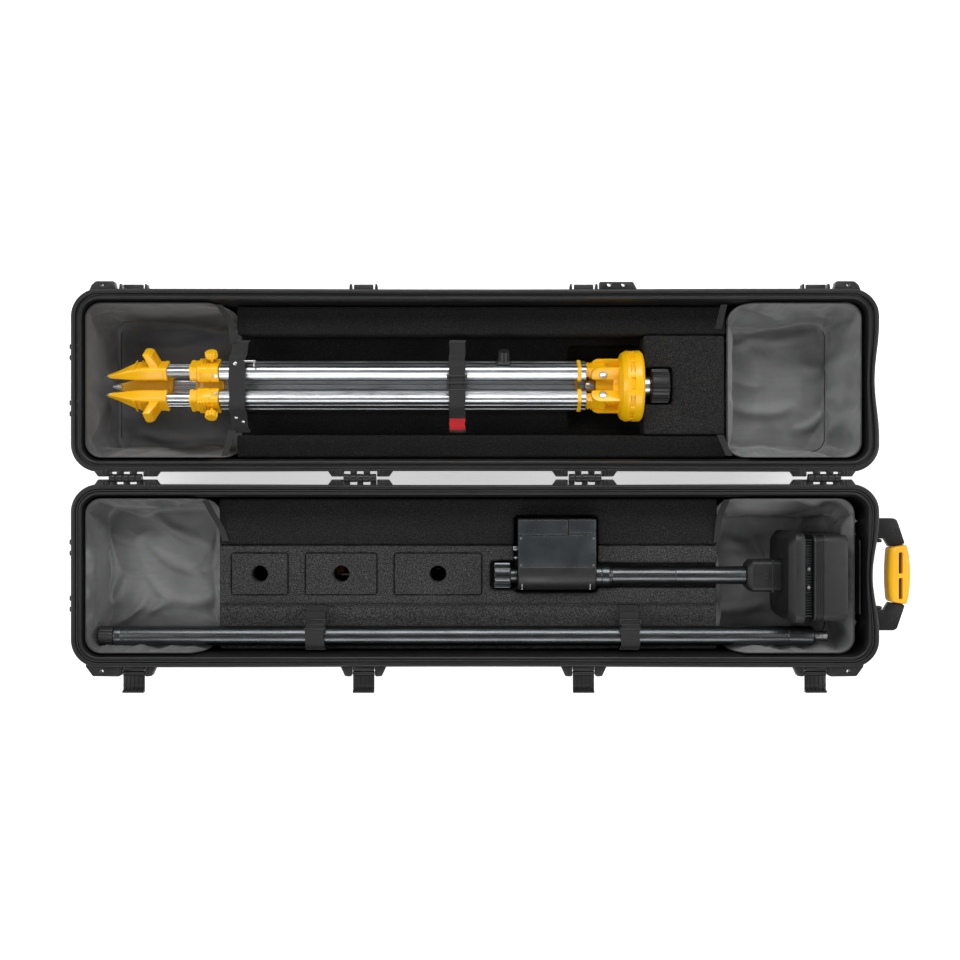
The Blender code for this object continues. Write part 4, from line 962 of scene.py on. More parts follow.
def build_linings():
    half_y = 0.1198
    liner("bay_lining_left", "case_base", "base_liner_left", NYLON,
          ((-0.6034, -0.4052), (-half_y, half_y)), (0.0705, 0.1466), (0.006, 0.001, 0.004, 0.008),
          (FOAM_LEFT, 0.0930),
          [((-0.5960, 0.0713), (-0.5547, 0.0494), 0.0055, 0.0060),
           ((-0.5547, 0.0494), (-0.5306, 0.0666), 0.0055, 0.0055),
           ((-0.5134, 0.0925), (-0.4124, 0.0430), 0.0070, 0.0085),
           ((-0.5242, 0.0456), (-0.4278, -0.0022), 0.0080, 0.0070),
           ((-0.5242, -0.0086), (-0.4834, -0.0428), 0.0060, 0.0060),
           ((-0.4834, -0.0428), (-0.5221, -0.0669), 0.0060, 0.0060),
           ((-0.5960, -0.0539), (-0.5650, -0.0107), 0.0080, 0.0065),
           ((-0.5824, -0.0862), (-0.5291, -0.0412), 0.0070, 0.0060),
           ((-0.4834, -0.0420), (-0.4180, -0.0380), 0.0060, 0.0045)],
          3, [], 1.0)
    liner("bay_lining_right", "case_base", "base_liner_right", NYLON_LIGHT,
          ((0.3840, 0.5876), (-half_y, half_y)), (0.0160, 0.1466), (0.001, 0.004, 0.006, 0.0300),
          (FOAM_RIGHT, 0.0830),
          [((0.3936, 0.0656), (0.4383, 0.0407), 0.0075, 0.0080),
           ((0.4897, 0.0474), (0.5096, 0.0308), 0.0070, 0.0070),
           ((0.3936, -0.0669), (0.4665, -0.0586), 0.0070, 0.0070),
           ((0.4500, 0.0050), (0.5600, -0.0350), 0.0120, 0.0060),
           ((0.5300, 0.0700), (0.5700, 0.0300), 0.0080, 0.0060)],
          5, [(0, 13, (0,), True), (13, 14, tuple(range(-36, 1)), True),
              (12, 13, tuple(range(10, 37)), False)], 1.0)
    lid_y = (LID_Y - half_y, LID_Y + half_y)
    liner("lid_lining_left", "lid", "lid_liner_left", NYLON_DARK,
          ((-0.6034, -0.3774), lid_y), (0.0160, 0.1466), (0.012, 0.001, 0.010, 0.010),
          (LID_FOAM_LEFT, 0.0570),
          [((-0.5700, 0.3700), (-0.4300, 0.3850), 0.0100, 0.0050),
           ((-0.5600, 0.2300), (-0.4300, 0.2150), 0.0100, 0.0050)],
          7, [(2, 13, (46, 46 + 25), False), (13, 14, tuple(range(44, 74)), True)], 0.6)
    liner("lid_lining_right", "lid", "lid_liner_right", NYLON_LIGHT,
          ((0.3974, 0.5986), lid_y), (0.0160, 0.1466), (0.001, 0.016, 0.006, 0.012),
          (LID_FOAM_RIGHT, 0.1130),
          [((0.4135, 0.3190), (0.4696, 0.3042), 0.0090, 0.0080),
           ((0.4135, 0.2685), (0.5162, 0.2663), 0.0100, 0.0080),
           ((0.5351, 0.3317), (0.5760, 0.3339), 0.0090, 0.0080),
           ((0.5203, 0.2304), (0.5780, 0.2599), 0.0070, 0.0070),
           ((0.4125, 0.3698), (0.4500, 0.3824), 0.0060, 0.0060),
           ((0.4080, 0.3990), (0.5600, 0.3920), 0.0090, 0.0050)],
          11, [(13, 14, tuple(range(-38, 4)), True)], 1.0)


def build_bindings():
    """Tape that edges the mouths of the linings."""
    ribbons = (
        ("base_left", "case_base", [(-0.4180, 0.1175, 0.1440), (-0.4120, 0.1000, 0.1300),
                                    (-0.4010, 0.0750, 0.1140), (-0.3930, 0.0521, 0.1120)]),
        ("base_right", "case_base", [(0.3900, 0.1175, 0.1440), (0.3840, 0.0900, 0.1200),
                                     (0.3810, 0.0500, 0.1122)]),
        ("lid_left_top", "lid", [(-0.3970, 0.4200, 0.1440), (-0.3830, 0.3924, 0.1220),
                                 (-0.3810, 0.3635, 0.1120)]),
        ("lid_left_low", "lid", [(-0.3839, 0.2266, 0.1120), (-0.3869, 0.2020, 0.1250),
                                 (-0.3886, 0.1860, 0.1440)]),
        ("lid_right_top", "lid", [(0.3860, 0.4200, 0.1440), (0.3820, 0.3862, 0.1180)]),
        ("lid_right_low", "lid", [(0.3850, 0.2193, 0.1180), (0.3940, 0.1860, 0.1440)]),
    )
    for name, body, path in ribbons:
        rings = []
        for x, y, z in smooth_path(path, 24):
            rings.append([(x - 0.0050, y, z), (x + 0.0050, y, z), (x + 0.0050, y, z + 0.0012),
                          (x - 0.0050, y, z + 0.0012)])
        piece("binding_" + name, body, BINDING, [soft(loft(rings), 0.0004, 2, 40.0)], ())


# ---------------------------------------------------------------- straps

def band(path, x0, half_width, half_thick, count=64):
    """Flat webbing that follows a line in the YZ plane."""
    line = smooth_path([(0.0, y, z) for y, z in path], count)
    rings = []
    for i, p in enumerate(line):
        ahead = line[min(i + 1, count - 1)] - line[max(i - 1, 0)]
        ahead /= np.linalg.norm(ahead)
        out = np.array([0.0, -ahead[2], ahead[1]])
        sway = 0.0005 * math.sin(i * 0.37)
        ring = []
        for a, b in ((-1, -0.55), (-0.93, -1), (-0.45, -1), (0, -1), (0.45, -1), (0.93, -1), (1, -0.55),
                     (1, 0.55), (0.93, 1), (0.45, 1.08), (0, 1.12), (-0.45, 1.08), (-0.93, 1), (-1, 0.55)):
            ring.append(tuple(p + np.array([x0 + sway + a * half_width, 0, 0]) + out * b * half_thick))
        rings.append(ring)
    return loft(rings)


def slab(centre, size, turn, width=0.0007):
    """A rounded bar turned about the X axis by an angle."""
    half = [0.5 * s for s in size]
    shape = hard(tuple(-h for h in half), tuple(half), width)
    return moved(shape, Matrix.Translation(centre) @ Matrix.Rotation(math.radians(turn), 4, "X"))


def strap_group(parts):
    for obj in parts:
        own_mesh(obj)


def build_straps():
    over_pole = [(-0.0500, 0.1050), (-0.0600, 0.1150), (-0.0780, 0.1290), (-0.0880, 0.1326),
                 (-0.1055, 0.1326), (-0.1140, 0.1277), (-0.1180, 0.1150), (-0.1185, 0.1050)]
    for side, x0 in (("left", -0.2504), ("right", 0.2425)):
        strap = piece("pole_strap_" + side, "case_base", WEBBING, [band(over_pole, x0, 0.0146, 0.0009)],
                      ["base_strap_" + side], 50.0)
        buckle = [slab((x0, -0.0700, 0.1246), (0.0340, 0.0030, 0.0030), 40),
                  slab((x0, -0.0835, 0.1330), (0.0340, 0.0030, 0.0030), 20),
                  slab((x0 - 0.0158, -0.0768, 0.1290), (0.0030, 0.0170, 0.0028), 34),
                  slab((x0 + 0.0158, -0.0768, 0.1290), (0.0030, 0.0170, 0.0028), 34),
                  slab((x0, -0.0768, 0.1302), (0.0310, 0.0026, 0.0024), 34)]
        clip = piece("pole_buckle_" + side, "case_base", DARK, buckle, ())
        stitch = [slab((x0 + dx, -0.0580, 0.1146 + 0.0006), (0.0012, 0.0040, 0.0008), 42, 0.0002)
                  for dx in np.linspace(-0.012, 0.012, 9)]
        thread = piece("pole_stitch_" + side, "case_base", BLACK, stitch, ())
        strap_group((strap, clip, thread))

    over_legs = [(0.2245, 0.0950), (0.2300, 0.1100), (0.2480, 0.1250), (0.2620, 0.1396), (0.2800, 0.1400),
                 (0.3140, 0.1400), (0.3320, 0.1396), (0.3460, 0.1250), (0.3640, 0.1100), (0.3700, 0.0950)]
    for side, x0 in (("left", -0.3700), ("mid", -0.0280)):
        strap = piece("leg_strap_" + side, "lid", WEBBING, [band(over_legs, x0, 0.0125, 0.0009, 90)],
                      ["lid_strap_" + side], 50.0)
        parts = [strap]
        if side == "mid":
            ladder = [slab((x0, y, 0.1420), (0.0300, 0.0030, 0.0030), 0) for y in (0.2880, 0.2990, 0.3100)]
            ladder += [slab((x0 + dx, 0.2990, 0.1416), (0.0030, 0.0250, 0.0028), 0) for dx in (-0.0142, 0.0142)]
            parts.append(piece("leg_buckle_mid", "lid", DARK, ladder, ()))
            tail = [(0.2880, 0.1428), (0.2720, 0.1426), (0.2610, 0.1412), (0.2500, 0.1285), (0.2440, 0.1235)]
            parts.append(piece("leg_strap_tail", "lid", WEBBING, [band(tail, x0, 0.0118, 0.0007, 40)], (),
                               50.0))
            tab = [(0.2445, 0.1250), (0.2385, 0.1198), (0.2320, 0.1150), (0.2275, 0.1098)]
            parts.append(piece("leg_strap_tab", "lid", RED, [band(tab, x0, 0.0122, 0.0007, 30)], (),
                               50.0))
        else:
            studs = [placed(turned(((0.0, 0.0032), (0.0010, 0.0032), (0.0018, 0.0016)), 20, "z",
                                   (0, 0, 0), 0.0004), direction, centre)
                     for direction, centre in (((0, 0, 1), (-0.3726, 0.3290, 0.1405)),
                                               ((0, -0.64, 0.77), (-0.3743, 0.2455, 0.1240)),
                                               ((0, -0.64, 0.77), (-0.3640, 0.2395, 0.1188)))]
            parts.append(piece("leg_strap_studs", "lid", STEEL, studs, ()))
            hook = [slab((-0.3510, 0.3330, 0.1385), (0.0180, 0.0030, 0.0026), 0),
                    slab((-0.3430, 0.3290, 0.1382), (0.0030, 0.0100, 0.0026), 0)]
            parts.append(piece("leg_strap_hook", "lid", STEEL, hook, ()))
        strap_group(parts)


# ---------------------------------------------------------------- instrument and pole

def build_instrument():
    axis = (0.0, AXIS_Y, AXIS_Z)
    knob = turned(((0.0300, 0.0060), (0.0300, 0.0192), (0.0316, 0.0200), (0.0545, 0.0200),
                   (0.0560, 0.0190), (0.0560, 0.0122), (0.0664, 0.0122), (0.0664, 0.0050)), 144, "x", axis,
                  0.0008, 3, 18, 0.10)
    piece("clamp_knob", "instrument_knob_body", ANODISED, [knob], ["instrument_knob"], 30.0)

    outline = eased([(-0.0246, 0.0730), (-0.0246, 0.1376), (0.0876, 0.1376), (0.0876, 0.0730),
                     (-0.0246, 0.0730)], [0, 0.034, 0.0030, 0.004, 0], 8)[:-1]
    shell = soft(prism(outline, "yz", 0.0670, 0.1890), 0.0022, 3, 40.0)
    cuts = [box((0.0, 0.0622, 0.1264), (0.1454, 0.2, 0.2)), box((0.0745, 0.0652, 0.0780), (0.1385, 0.0846, 0.2))]
    piece("battery_case", "instrument", BLACK, [shell], ["battery_box"], 34.0, cuts)
    plates = [hard((0.0684, 0.0118, 0.1370), (0.1876, 0.0618, 0.1380), 0.0004),
              hard((0.1462, 0.0668, 0.1370), (0.1876, 0.0862, 0.1380), 0.0004),
              hard((0.1462, 0.0626, 0.1370), (0.1876, 0.0662, 0.1380), 0.0004)]
    piece("battery_faceplate", "instrument", FILM, plates, ())
    bits = [hard((0.0724, -0.0226, 0.1180), (0.0740, -0.0120, 0.1322), 0.0005),
            hard((0.1785, -0.0226, 0.1180), (0.1801, -0.0120, 0.1322), 0.0005),
            hard((0.0612, 0.0256, 0.1205), (0.0674, 0.0280, 0.1225), 0.0006),
            hard((0.0600, 0.0380, 0.1140), (0.0674, 0.0440, 0.1160), 0.0006)]
    for x in (0.0715, 0.1845):
        for y in (0.0160, 0.0575):
            bits.append(turned(((0.1372, 0.0017), (0.1384, 0.0017)), 16, "z", (x, y, 0.0), 0.0003))
    piece("battery_fittings", "instrument", STEEL, bits, ())
    NODES["battery_pack"].data.materials[0] = DARK

    flap = eased([(0.0628, 0.1376), (0.0628, 0.1330), (0.0646, 0.1270), (0.0876, 0.1270),
                  (0.0876, 0.1358), (0.0860, 0.1376), (0.0628, 0.1376)], 0.0006, 3)[:-1]
    lid_shapes = [soft(prism(flap, "yz", 0.0672, 0.1448), 0.0006, 2, 40.0)]
    piece("battery_hatch", "battery_door_body", BLACK, lid_shapes, ["battery_door"])
    hatch_film = [hard((0.0680, 0.0632, 0.1370), (0.1442, 0.0858, 0.1380), 0.0004)]
    piece("battery_hatch_film", "battery_door_body", FILM, hatch_film, ())
    grips = [hard((0.0780 + 0.0040 * k, 0.0660, 0.1374), (0.0794 + 0.0040 * k, 0.0720, 0.1384), 0.0003)
             for k in range(6)]
    piece("battery_hatch_grip", "battery_door_body", DARK, grips, ())

    tube = turned(((0.1895, 0.0100), (0.1895, 0.0168), (0.1905, 0.0172), (0.1985, 0.0172), (0.1988, 0.0166),
                   (0.1998, 0.0166), (0.2001, 0.0172), (0.2110, 0.0172), (0.2120, 0.0160), (0.2150, 0.0156),
                   (0.2156, 0.0142), (0.3150, 0.0142), (0.3152, 0.0139), (0.3160, 0.0139), (0.3162, 0.0142),
                   (0.4260, 0.0142), (0.4260, 0.0050)), 64, "x", axis, 0.0005)
    piece("mast_tube", "instrument", ANODISED, [tube], ["mast"], 30.0)

    neck = [soft(slab_x([(0.4266, 0.0190, 0.0170), (0.4340, 0.0250, 0.0230), (0.4794, 0.0250, 0.0230)],
                        0.0080), 0.0012, 3, 15.0),
            turned(((0.1290, 0.0050), (0.1306, 0.0050), (0.1310, 0.0030)), 24, "z", (0.4560, AXIS_Y, 0.0), 0.0005),
            hard((0.4640, AXIS_Y - 0.0254, 0.0860), (0.4668, AXIS_Y + 0.0254, 0.1304), 0.0006)]
    piece("neck_casting", "instrument", BLACK, neck, ["neck_block"], 28.0)

    tray = [soft(slab_x([(0.4796, 0.0595, 0.0595), (0.4900, 0.0695, 0.0695), (0.5040, 0.0695, 0.0695)],
                        0.0140), 0.0014, 3, 20.0)]
    for k in range(-4, 5):
        tray.append(hard((0.4860, AXIS_Y + 0.0125 * k - 0.0012, AXIS_Z - 0.0580),
                         (0.4895, AXIS_Y + 0.0125 * k + 0.0012, AXIS_Z + 0.0580), 0.0006))
    piece("antenna_back", "instrument", BLACK, tray, ["antenna_tray"], 28.0)

    fins = [soft(slab_x([(0.5046, 0.0540, 0.0540), (0.5174, 0.0540, 0.0540)], 0.006), 0.0008)]
    for y in np.arange(-0.0580, 0.0581, 0.0040):
        fins.append(hard((0.5056, AXIS_Y + y - 0.0010, AXIS_Z - 0.0598),
                         (0.5166, AXIS_Y + y + 0.0010, AXIS_Z + 0.0598), 0.0004, 1))
    piece("antenna_fins", "instrument", ANODISED, fins, ["heatsink"], 30.0)
    bolts = [turned(((0.1640, 0.0026), (0.1688, 0.0026)), 6, "z", (0.5110, y, 0.0), 0.0002)
             for y in (0.0120, -0.0160)]
    piece("antenna_bolts", "instrument", STEEL, bolts, ())

    stations = [(0.5181, 0.0640, 0.0640), (0.5186, 0.0662, 0.0662)]
    for k in range(5):
        x = 0.5210 + 0.0026 * k
        stations += [(x, 0.0662, 0.0662), (x + 0.0005, 0.0652, 0.0652), (x + 0.0013, 0.0652, 0.0652),
                     (x + 0.0018, 0.0662, 0.0662)]
    stations += [(0.5650, 0.0662, 0.0662), (0.5684, 0.0655, 0.0655), (0.5702, 0.0636, 0.0636),
                 (0.5710, 0.0610, 0.0610)]
    cover = [slab_x(stations, 0.0120, 10)]
    cover.append(soft(slab_x([(0.5700, 0.0500, 0.0500), (0.5713, 0.0490, 0.0490)], 0.010), 0.0006))
    piece("antenna_dome", "instrument", BLACK, cover, ["antenna_cover"], 24.0)
    NODES["antenna_board"].data.materials[0] = moulded(
        "board_green", (0.010, 0.070, 0.028), (0.020, 0.110, 0.048), 0.40, 900.0, 0.10)


def build_pole():
    axis = (0.0, POLE_Y, POLE_Z)
    cap = turned(((-0.5915, 0.0060), (-0.5915, 0.0130), (-0.5895, 0.0152), (-0.5700, 0.0155),
                  (-0.5672, 0.0152), (-0.5672, 0.0060)), 72, "x", axis, 0.0009, 3, 24, 0.03)
    piece("pole_plug", "pole", DARK, [cap], ["pole_cap"], 30.0)
    tube = turned(((-0.5664, 0.0060), (-0.5664, 0.0150), (-0.5656, 0.0155), (-0.5560, 0.0155),
                   (-0.5556, 0.0151), (-0.5546, 0.0151), (-0.5542, 0.0155), (0.4900, 0.0155),
                   (0.4904, 0.0151), (0.4914, 0.0151), (0.4918, 0.0155), (0.5290, 0.0155),
                   (0.5330, 0.0120), (0.5332, 0.0079), (0.5338, 0.0060)), 72, "x", axis, 0.0005)
    piece("pole_body", "pole", ANODISED, [tube], ["pole_tube"], 30.0)
    thread = [(0.5330, 0.0040), (0.5330, 0.0079)]
    for k in range(9):
        x = 0.5342 + 0.0020 * k
        thread += [(x, 0.0079), (x + 0.0010, 0.0070)]
    thread += [(0.5522, 0.0079), (0.5530, 0.0068), (0.5530, 0.0020)]
    piece("pole_stud", "pole", STEEL, [turned(thread, 40, "x", axis, 0.0002, 1)], (), 40.0)


# ---------------------------------------------------------------- tripod

def leg_frame(angle):
    outward = Vector((0.0, math.cos(math.radians(angle)), math.sin(math.radians(angle))))
    along = Vector((1.0, 0.0, 0.0))
    matrix = Matrix((along, outward.cross(along), outward)).transposed().to_4x4()
    return Matrix.Translation((0.0, TRIPOD_Y, TRIPOD_Z)) @ matrix


def leg_ring(half_width, inner, outer, radius, x, flute=0.0, steps=5):
    """A rounded rectangle across a leg, with drawn-in lines along its faces."""
    middle, half = 0.5 * (inner + outer), 0.5 * (outer - inner)
    points = []
    for sa, sb, start in ((1, 1, 0), (-1, 1, 90), (-1, -1, 180), (1, -1, 270)):
        for k in range(steps + 1):
            angle = math.radians(start + 90.0 * k / steps)
            points.append((sa * (half_width - radius) + radius * math.cos(angle),
                           sb * (half - radius) + radius * math.sin(angle)))
        a0, b0 = points[-1]
        if start in (0, 180):
            span = 2 * (half_width - radius)
            for k in range(1, 16):
                t = k / 16
                off = abs(t - 0.5) * 2
                dip = flute * (1.0 if 0.44 < off < 0.70 else 0.0)
                points.append((a0 - sa * span * t, b0 - sb * dip))
        else:
            span = 2 * (half - radius)
            for k in range(1, 12):
                t = k / 12
                off = abs(t - 0.5) * 2
                dip = flute * (1.0 if off < 0.36 else 0.0)
                points.append((a0 - sa * dip, b0 - sb * span * t))
    return [(x, a, middle + b) for a, b in points]


def leg_tube(half_width, inner, outer, wall, start, end, flute):
    rings = [leg_ring(half_width - 0.0004, inner + 0.0004, outer - 0.0004, 0.0080, start, flute),
             leg_ring(half_width, inner, outer, 0.0084, start - 0.0006, flute),
             leg_ring(half_width, inner, outer, 0.0084, end + 0.0006, flute),
             leg_ring(half_width - 0.0004, inner + 0.0004, outer - 0.0004, 0.0080, end, flute),
             leg_ring(half_width - wall, inner + wall, outer - wall, 0.0034, end),
             leg_ring(half_width - wall, inner + wall, outer - wall, 0.0034, start)]
    return loft(rings, closed=True)


def build_tripod():
    axis = (0.0, TRIPOD_Y, TRIPOD_Z)
    disc = turned(((0.2245, 0.0090), (0.2245, 0.0400), (0.2295, 0.0515), (0.2370, 0.0560), (0.2412, 0.0560),
                   (0.2418, 0.0526), (0.2472, 0.0526), (0.2478, 0.0560), (0.2590, 0.0560), (0.2630, 0.0525),
                   (0.2630, 0.0440), (0.2618, 0.0430), (0.2618, 0.0090)), 96, "x", axis, 0.0010, 3)
    shapes = [disc, turned(((0.1900, 0.0090), (0.1900, 0.0150), (0.2300, 0.0150)), 40, "x", axis, 0.0010)]
    for k in range(12):
        angle = math.radians(30 * k + 15)
        spin = Matrix.Translation(axis) @ Matrix.Rotation(angle, 4, "X")
        shapes.append(moved(hard((0.2410, -0.0050, 0.0480), (0.2482, 0.0050, 0.0556), 0.0008), spin))
    pins = []
    for angle in LEG_ANGLES:
        place = leg_frame(angle)
        for side in (-1, 1):
            low, high = sorted((side * 0.0128, side * 0.0175))
            cheek = eased([(0.2320, 0.0195), (0.2320, 0.0400), (0.1900, 0.0400), (0.1820, 0.0320),
                           (0.1820, 0.0195), (0.2320, 0.0195)], [0, 0.002, 0.010, 0.008, 0.004, 0], 4)[:-1]
            shapes.append(moved(soft(prism(cheek, "xz", low, high), 0.0009, 2, 40.0), place))
            low, high = sorted((side * 0.0030, side * 0.0165))
            shapes.append(moved(hard((0.2165, low, 0.0080), (0.2310, high, 0.0260), 0.0012), place))
            boss = turned(((0.0, 0.0062), (0.0014, 0.0062), (0.0020, 0.0050)), 28, "z", (0, 0, 0), 0.0004)
            turn = Matrix.Translation((0.2000, side * 0.0174, 0.0280)) @ Matrix.Rotation(
                math.radians(-90 * side), 4, "X")
            pins.append(moved(boss, place @ turn))
        pins.append(moved(turned(((-0.0172, 0.0030), (0.0172, 0.0030)), 20, "y", (0.2000, 0.0, 0.0280), 0.0004),
                          place))
    piece("tripod_casting", "tripod", YELLOW, shapes, ["tripod_head"], 32.0)
    piece("tripod_pins", "tripod", STEEL, pins, ())

    knob = turned(((0.2768, 0.0090), (0.2768, 0.0255), (0.2786, 0.0277), (0.3042, 0.0277), (0.3060, 0.0258),
                   (0.3060, 0.0190), (0.3050, 0.0180), (0.3050, 0.0040)), 216, "x", axis, 0.0009, 3, 27, 0.055)
    shaft = turned(((0.1740, 0.0040), (0.1740, 0.0104), (0.1746, 0.0110), (0.1880, 0.0110), (0.1884, 0.0078),
                    (0.2640, 0.0078), (0.2642, 0.0155), (0.2650, 0.0165), (0.2758, 0.0165), (0.2766, 0.0150),
                    (0.2768, 0.0060)), 64, "x", axis, 0.0005)
    piece("fixing_knob", "fixing_screw_body", DARK, [knob], ["fixing_screw"], 30.0)
    piece("fixing_shaft", "fixing_screw_body", ALUMINIUM, [shaft], (), 30.0)

    for n, angle in enumerate(LEG_ANGLES, 1):
        place = leg_frame(angle)
        body = "leg_%d" % n
        tube = moved(leg_tube(0.018, 0.015, 0.039, 0.0028, 0.1740, -0.4000, 0.0006), place)
        piece("leg_tube_%d" % n, body, ALUMINIUM, [tube], ["outer_leg_%d" % n], 24.0)
        end = [loft([leg_ring(0.0158, 0.0168, 0.0372, 0.004, x) for x in (0.1450, 0.1640)]),
               soft(loft([leg_ring(0.0182, 0.0148, 0.0392, 0.006, x) for x in (0.1600, 0.1662)]), 0.0008, 2, 40),
               hard((0.1500, -0.0116, 0.0208), (0.1980, 0.0116, 0.0352), 0.0016, 3),
               turned(((-0.0118, 0.0074), (0.0118, 0.0074)), 40, "y", (0.2000, 0.0, 0.0280), 0.0010)]
        for k in range(4):
            end.append(hard((0.1685 + 0.0042 * k, -0.0124, 0.0218), (0.1703 + 0.0042 * k, 0.0124, 0.0362),
                            0.0006))
        piece("leg_top_%d" % n, body, YELLOW, [moved(s, place) for s in end], (), 30.0)

        sleeve_rings = [leg_ring(w, a, b, 0.0068, x) for x, w, a, b in (
            (-0.4006, 0.0186, 0.0144, 0.0398), (-0.4016, 0.0195, 0.0136, 0.0409), (-0.4130, 0.0195, 0.0136, 0.0409),
            (-0.4140, 0.0189, 0.0142, 0.0402), (-0.4160, 0.0189, 0.0142, 0.0402), (-0.4170, 0.0195, 0.0136, 0.0409),
            (-0.4330, 0.0195, 0.0136, 0.0409), (-0.4350, 0.0180, 0.0150, 0.0390), (-0.4400, 0.0176, 0.0156, 0.0384),
            (-0.4420, 0.0184, 0.0146, 0.0396), (-0.4460, 0.0180, 0.0150, 0.0392))]
        bore = [leg_ring(0.0150, 0.0180, 0.0360, 0.0034, x) for x in (-0.4460, -0.4006)]
        shapes = [loft(sleeve_rings + bore, closed=True)]
        for side in (-1, 1):
            low, high = sorted((side * 0.0180, side * 0.0204))
            shapes.append(hard((-0.4300, low, 0.0200), (-0.4100, high, 0.0350), 0.0010))
        for k in range(4):
            shapes.append(hard((-0.4330 + 0.0046 * k, -0.0150, 0.0402), (-0.4305 + 0.0046 * k, 0.0150, 0.0418),
                               0.0007))
        shapes.append(turned(((0.0400, 0.0085), (0.0422, 0.0085)), 32, "z", (-0.412, 0.0, 0.0), 0.0008))
        piece("clamp_sleeve_%d" % n, body, YELLOW, [moved(s, place) for s in shapes], ["leg_clamp_%d" % n],
              30.0)
        screws = [turned(((-0.0208, 0.0028), (0.0208, 0.0028)), 20, "y", (-0.4040, 0.0, 0.0275), 0.0005)]
        piece("clamp_screws_%d" % n, body, STEEL, [moved(s, place) for s in screws], ())

        inner = moved(leg_tube(0.0143, 0.0187, 0.0353, 0.0016, -0.2500, -0.4830, 0.0005), place)
        piece("slide_tube_%d" % n, body, ALUMINIUM, [inner], ["inner_tube_%d" % n], 24.0)

        stations = smooth_path([(0.0163, 0.0166, 0.0373), (0.0166, 0.0162, 0.0376), (0.0166, 0.0160, 0.0376),
                                (0.0150, 0.0157, 0.0362), (0.0108, 0.0151, 0.0308), (0.0062, 0.0147, 0.0244),
                                (0.0026, 0.0145, 0.0190)], 26)
        xs = np.linspace(-0.4822, -0.5790, 26)
        foot = [loft([leg_ring(float(w), float(a), float(b), min(0.005, 0.45 * float(min(w, (b - a) / 2))),
                               float(x)) for x, (w, a, b) in zip(xs, stations)])]
        foot.append(soft(loft([leg_ring(0.0172, 0.0156, 0.0382, 0.0056, x) for x in (-0.4826, -0.4880)]),
                         0.0008, 2, 40))
        for k in range(3):
            x = -0.5150 - 0.0090 * k
            foot.append(hard((x - 0.0012, -0.0150, 0.0366), (x + 0.0012, 0.0150, 0.0382), 0.0006))
        peg = eased([(-0.4925, 0.0330), (-0.5070, 0.0330), (-0.5160, 0.0600), (-0.5060, 0.0600),
                     (-0.4925, 0.0330)], [0, 0.001, 0.002, 0.002, 0], 3)[:-1]
        foot.append(soft(prism(peg, "xz", -0.0125, 0.0125), 0.0009, 2, 40.0))
        for k in range(7):
            z = 0.0410 + 0.0027 * k
            x = -0.4925 - (z - 0.0330) * 0.40
            foot.append(hard((x - 0.0150, -0.0112, z), (x + 0.0004, 0.0112, z + 0.0012), 0.0005, 1))
        piece("shoe_%d" % n, body, YELLOW, [moved(s, place) for s in foot], ["leg_shoe_%d" % n],
              30.0)
        tip = turned(((-0.0200, 0.0046), (-0.0060, 0.0036), (0.0, 0.0010)), 24, "z", (0, 0, 0), 0.0005)
        aim = Matrix.Translation((-0.5832, 0.0, 0.0162)) @ Matrix.Rotation(math.radians(-90), 4, "Y")
        piece("shoe_tip_%d" % n, body, STEEL, [moved(tip, place @ aim)], ())

        lever = [turned(((0.0416, 0.0020), (0.0416, 0.0028), (0.0500, 0.0028)), 20, "z", (-0.412, 0, 0), 0.0003),
                 turned(((0.0496, 0.0040), (0.0496, 0.0088), (0.0506, 0.0098), (0.0584, 0.0098), (0.0598, 0.0086),
                         (0.0600, 0.0040)), 96, "z", (-0.412, 0, 0), 0.0010, 3, 8, 0.16)]
        piece("lever_knob_%d" % n, "clamp_lever_%d_body" % n, YELLOW, [moved(s, place) for s in lever],
              ["clamp_lever_%d" % n], 34.0)
    place = leg_frame(30.0)
    hook = [hard((0.0345, -0.0070, 0.0385), (0.0555, 0.0070, 0.0460), 0.0016, 3),
            turned(((0.0440, 0.0092), (0.0610, 0.0086)), 48, "z", (0.0450, 0.0, 0.0), 0.0012, 3, 12, 0.08)]
    piece("plumb_clip", "leg_1", DARK, [moved(s, place) for s in hook], ())


def build_end_bay():
    bars = [hard((0.5902, -0.0610, 0.1040), (0.5922, 0.0550, 0.1330), 0.0008),
            hard((0.6002, -0.0610, 0.0980), (0.6028, 0.0550, 0.1300), 0.0008),
            hard((0.5900, -0.0860, 0.0900), (0.6040, 0.0900, 0.1010), 0.0012)]
    piece("end_bay_rails", "case_base", DARK, bars, ())
    bits = [hard((0.5915, 0.0825, 0.1080), (0.6035, 0.0850, 0.1120), 0.0008),
            hard((0.5915, 0.0625, 0.1080), (0.6010, 0.0640, 0.1120), 0.0006),
            hard((0.5915, -0.0770, 0.1080), (0.6010, -0.0750, 0.1120), 0.0006)]
    for y in (0.0837, -0.0760):
        bits.append(turned(((0.1000, 0.0042), (0.1100, 0.0042)), 24, "z", (0.5975, y, 0.0), 0.0008))
    piece("end_bay_bolts", "case_base", STEEL, bits, ())


# ---------------------------------------------------------------- studio

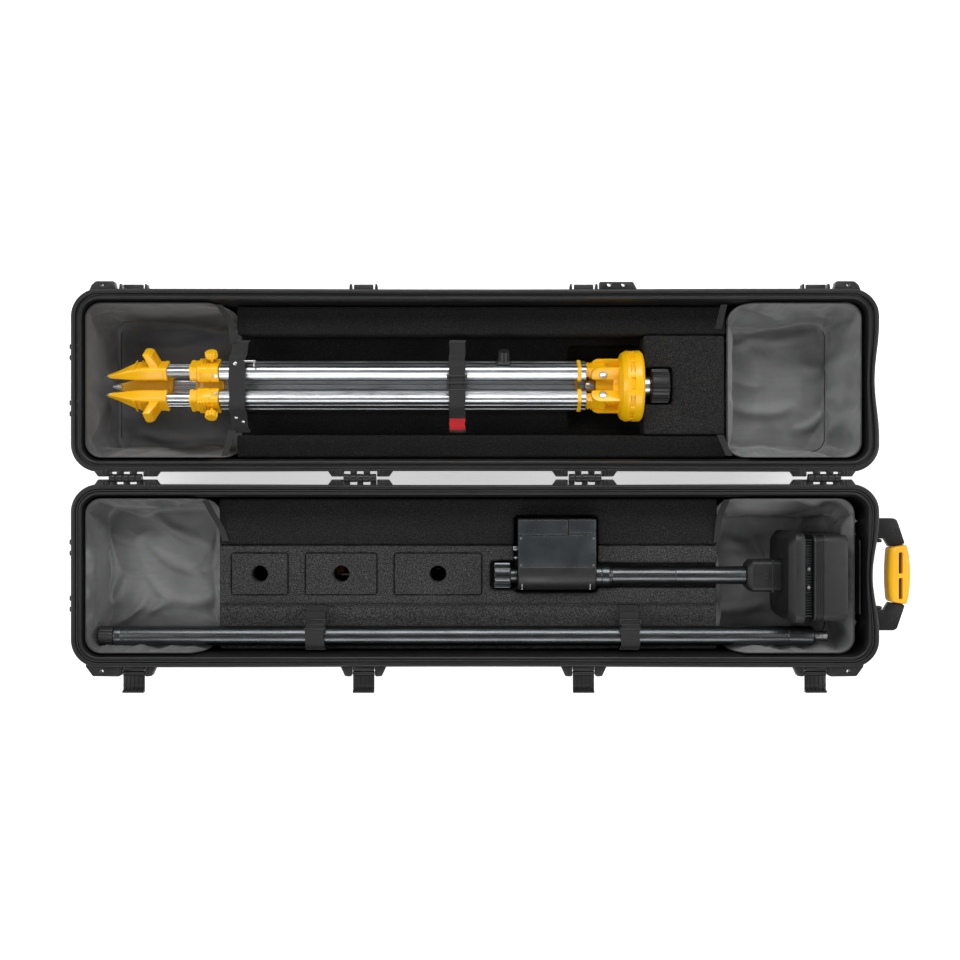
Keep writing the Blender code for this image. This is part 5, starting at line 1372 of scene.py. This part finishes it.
def area_light(name, place, aim, size, power, colour=(1.0, 1.0, 1.0)):
    data = bpy.data.lights.new(name, "AREA")
    data.shape = "RECTANGLE"
    data.size, data.size_y = size
    data.energy = power
    data.color = colour
    obj = bpy.data.objects.new(name, data)
    obj.location = place
    obj.rotation_euler = (Vector(aim) - Vector(place)).to_track_quat("-Z", "Y").to_euler()
    scene.collection.objects.link(obj)


def build_studio():
    floor = object_from("studio_floor", ([(-6, -6, 0), (6, -6, 0), (6, 6, 0), (-6, 6, 0)], [(0, 1, 2, 3)]),
                        None, 0, True)
    look = Look("studio_paper", 0.85)
    tone = look.span(look.noise(3.0, 2.0), 0.0, 1.0, 0.45, 0.55)
    look.colour(look.blend(tone, (0.90, 0.90, 0.90), (0.92, 0.92, 0.92)))
    look.shader.inputs["Emission Color"].default_value = (1.0, 1.0, 1.0, 1.0)
    look.shader.inputs["Emission Strength"].default_value = 0.55
    floor.data.materials.append(look.material)
    floor.location = (0.0, 0.0, -0.0006)

    world = bpy.data.worlds.new("studio_world")
    world.use_nodes = True
    world.node_tree.nodes["Background"].inputs["Color"].default_value = (1.0, 1.0, 1.0, 1.0)
    world.node_tree.nodes["Background"].inputs["Strength"].default_value = 0.14
    scene.world = world

    area_light("softbox_back", (0.0, 2.3, 2.2), (0.0, 0.20, 0.0), (3.2, 1.0), 74.0)
    area_light("softbox_front", (0.0, -2.0, 2.2), (0.0, 0.10, 0.0), (3.2, 1.0), 44.0)
    area_light("softbox_left", (-2.4, 0.2, 1.8), (-0.2, 0.15, 0.0), (1.0, 2.0), 26.0)
    area_light("softbox_right", (2.4, 0.2, 1.8), (0.2, 0.15, 0.0), (1.0, 2.0), 26.0)

    data = bpy.data.cameras.new("camera")
    data.sensor_width = 36.0
    data.lens = 46.1
    camera = bpy.data.objects.new("camera", data)
    camera.location = (0.0077, 0.1484, 2.05)
    camera.rotation_euler = (0.0, 0.0, 0.0)
    scene.collection.objects.link(camera)
    scene.camera = camera
    scene.view_settings.view_transform = "Standard"


build_case()
build_latches()
build_handle()
build_wheels()
build_end_bay()
build_foam()
build_linings()
build_bindings()
build_straps()
build_instrument()
build_pole()
build_tripod()
build_studio()
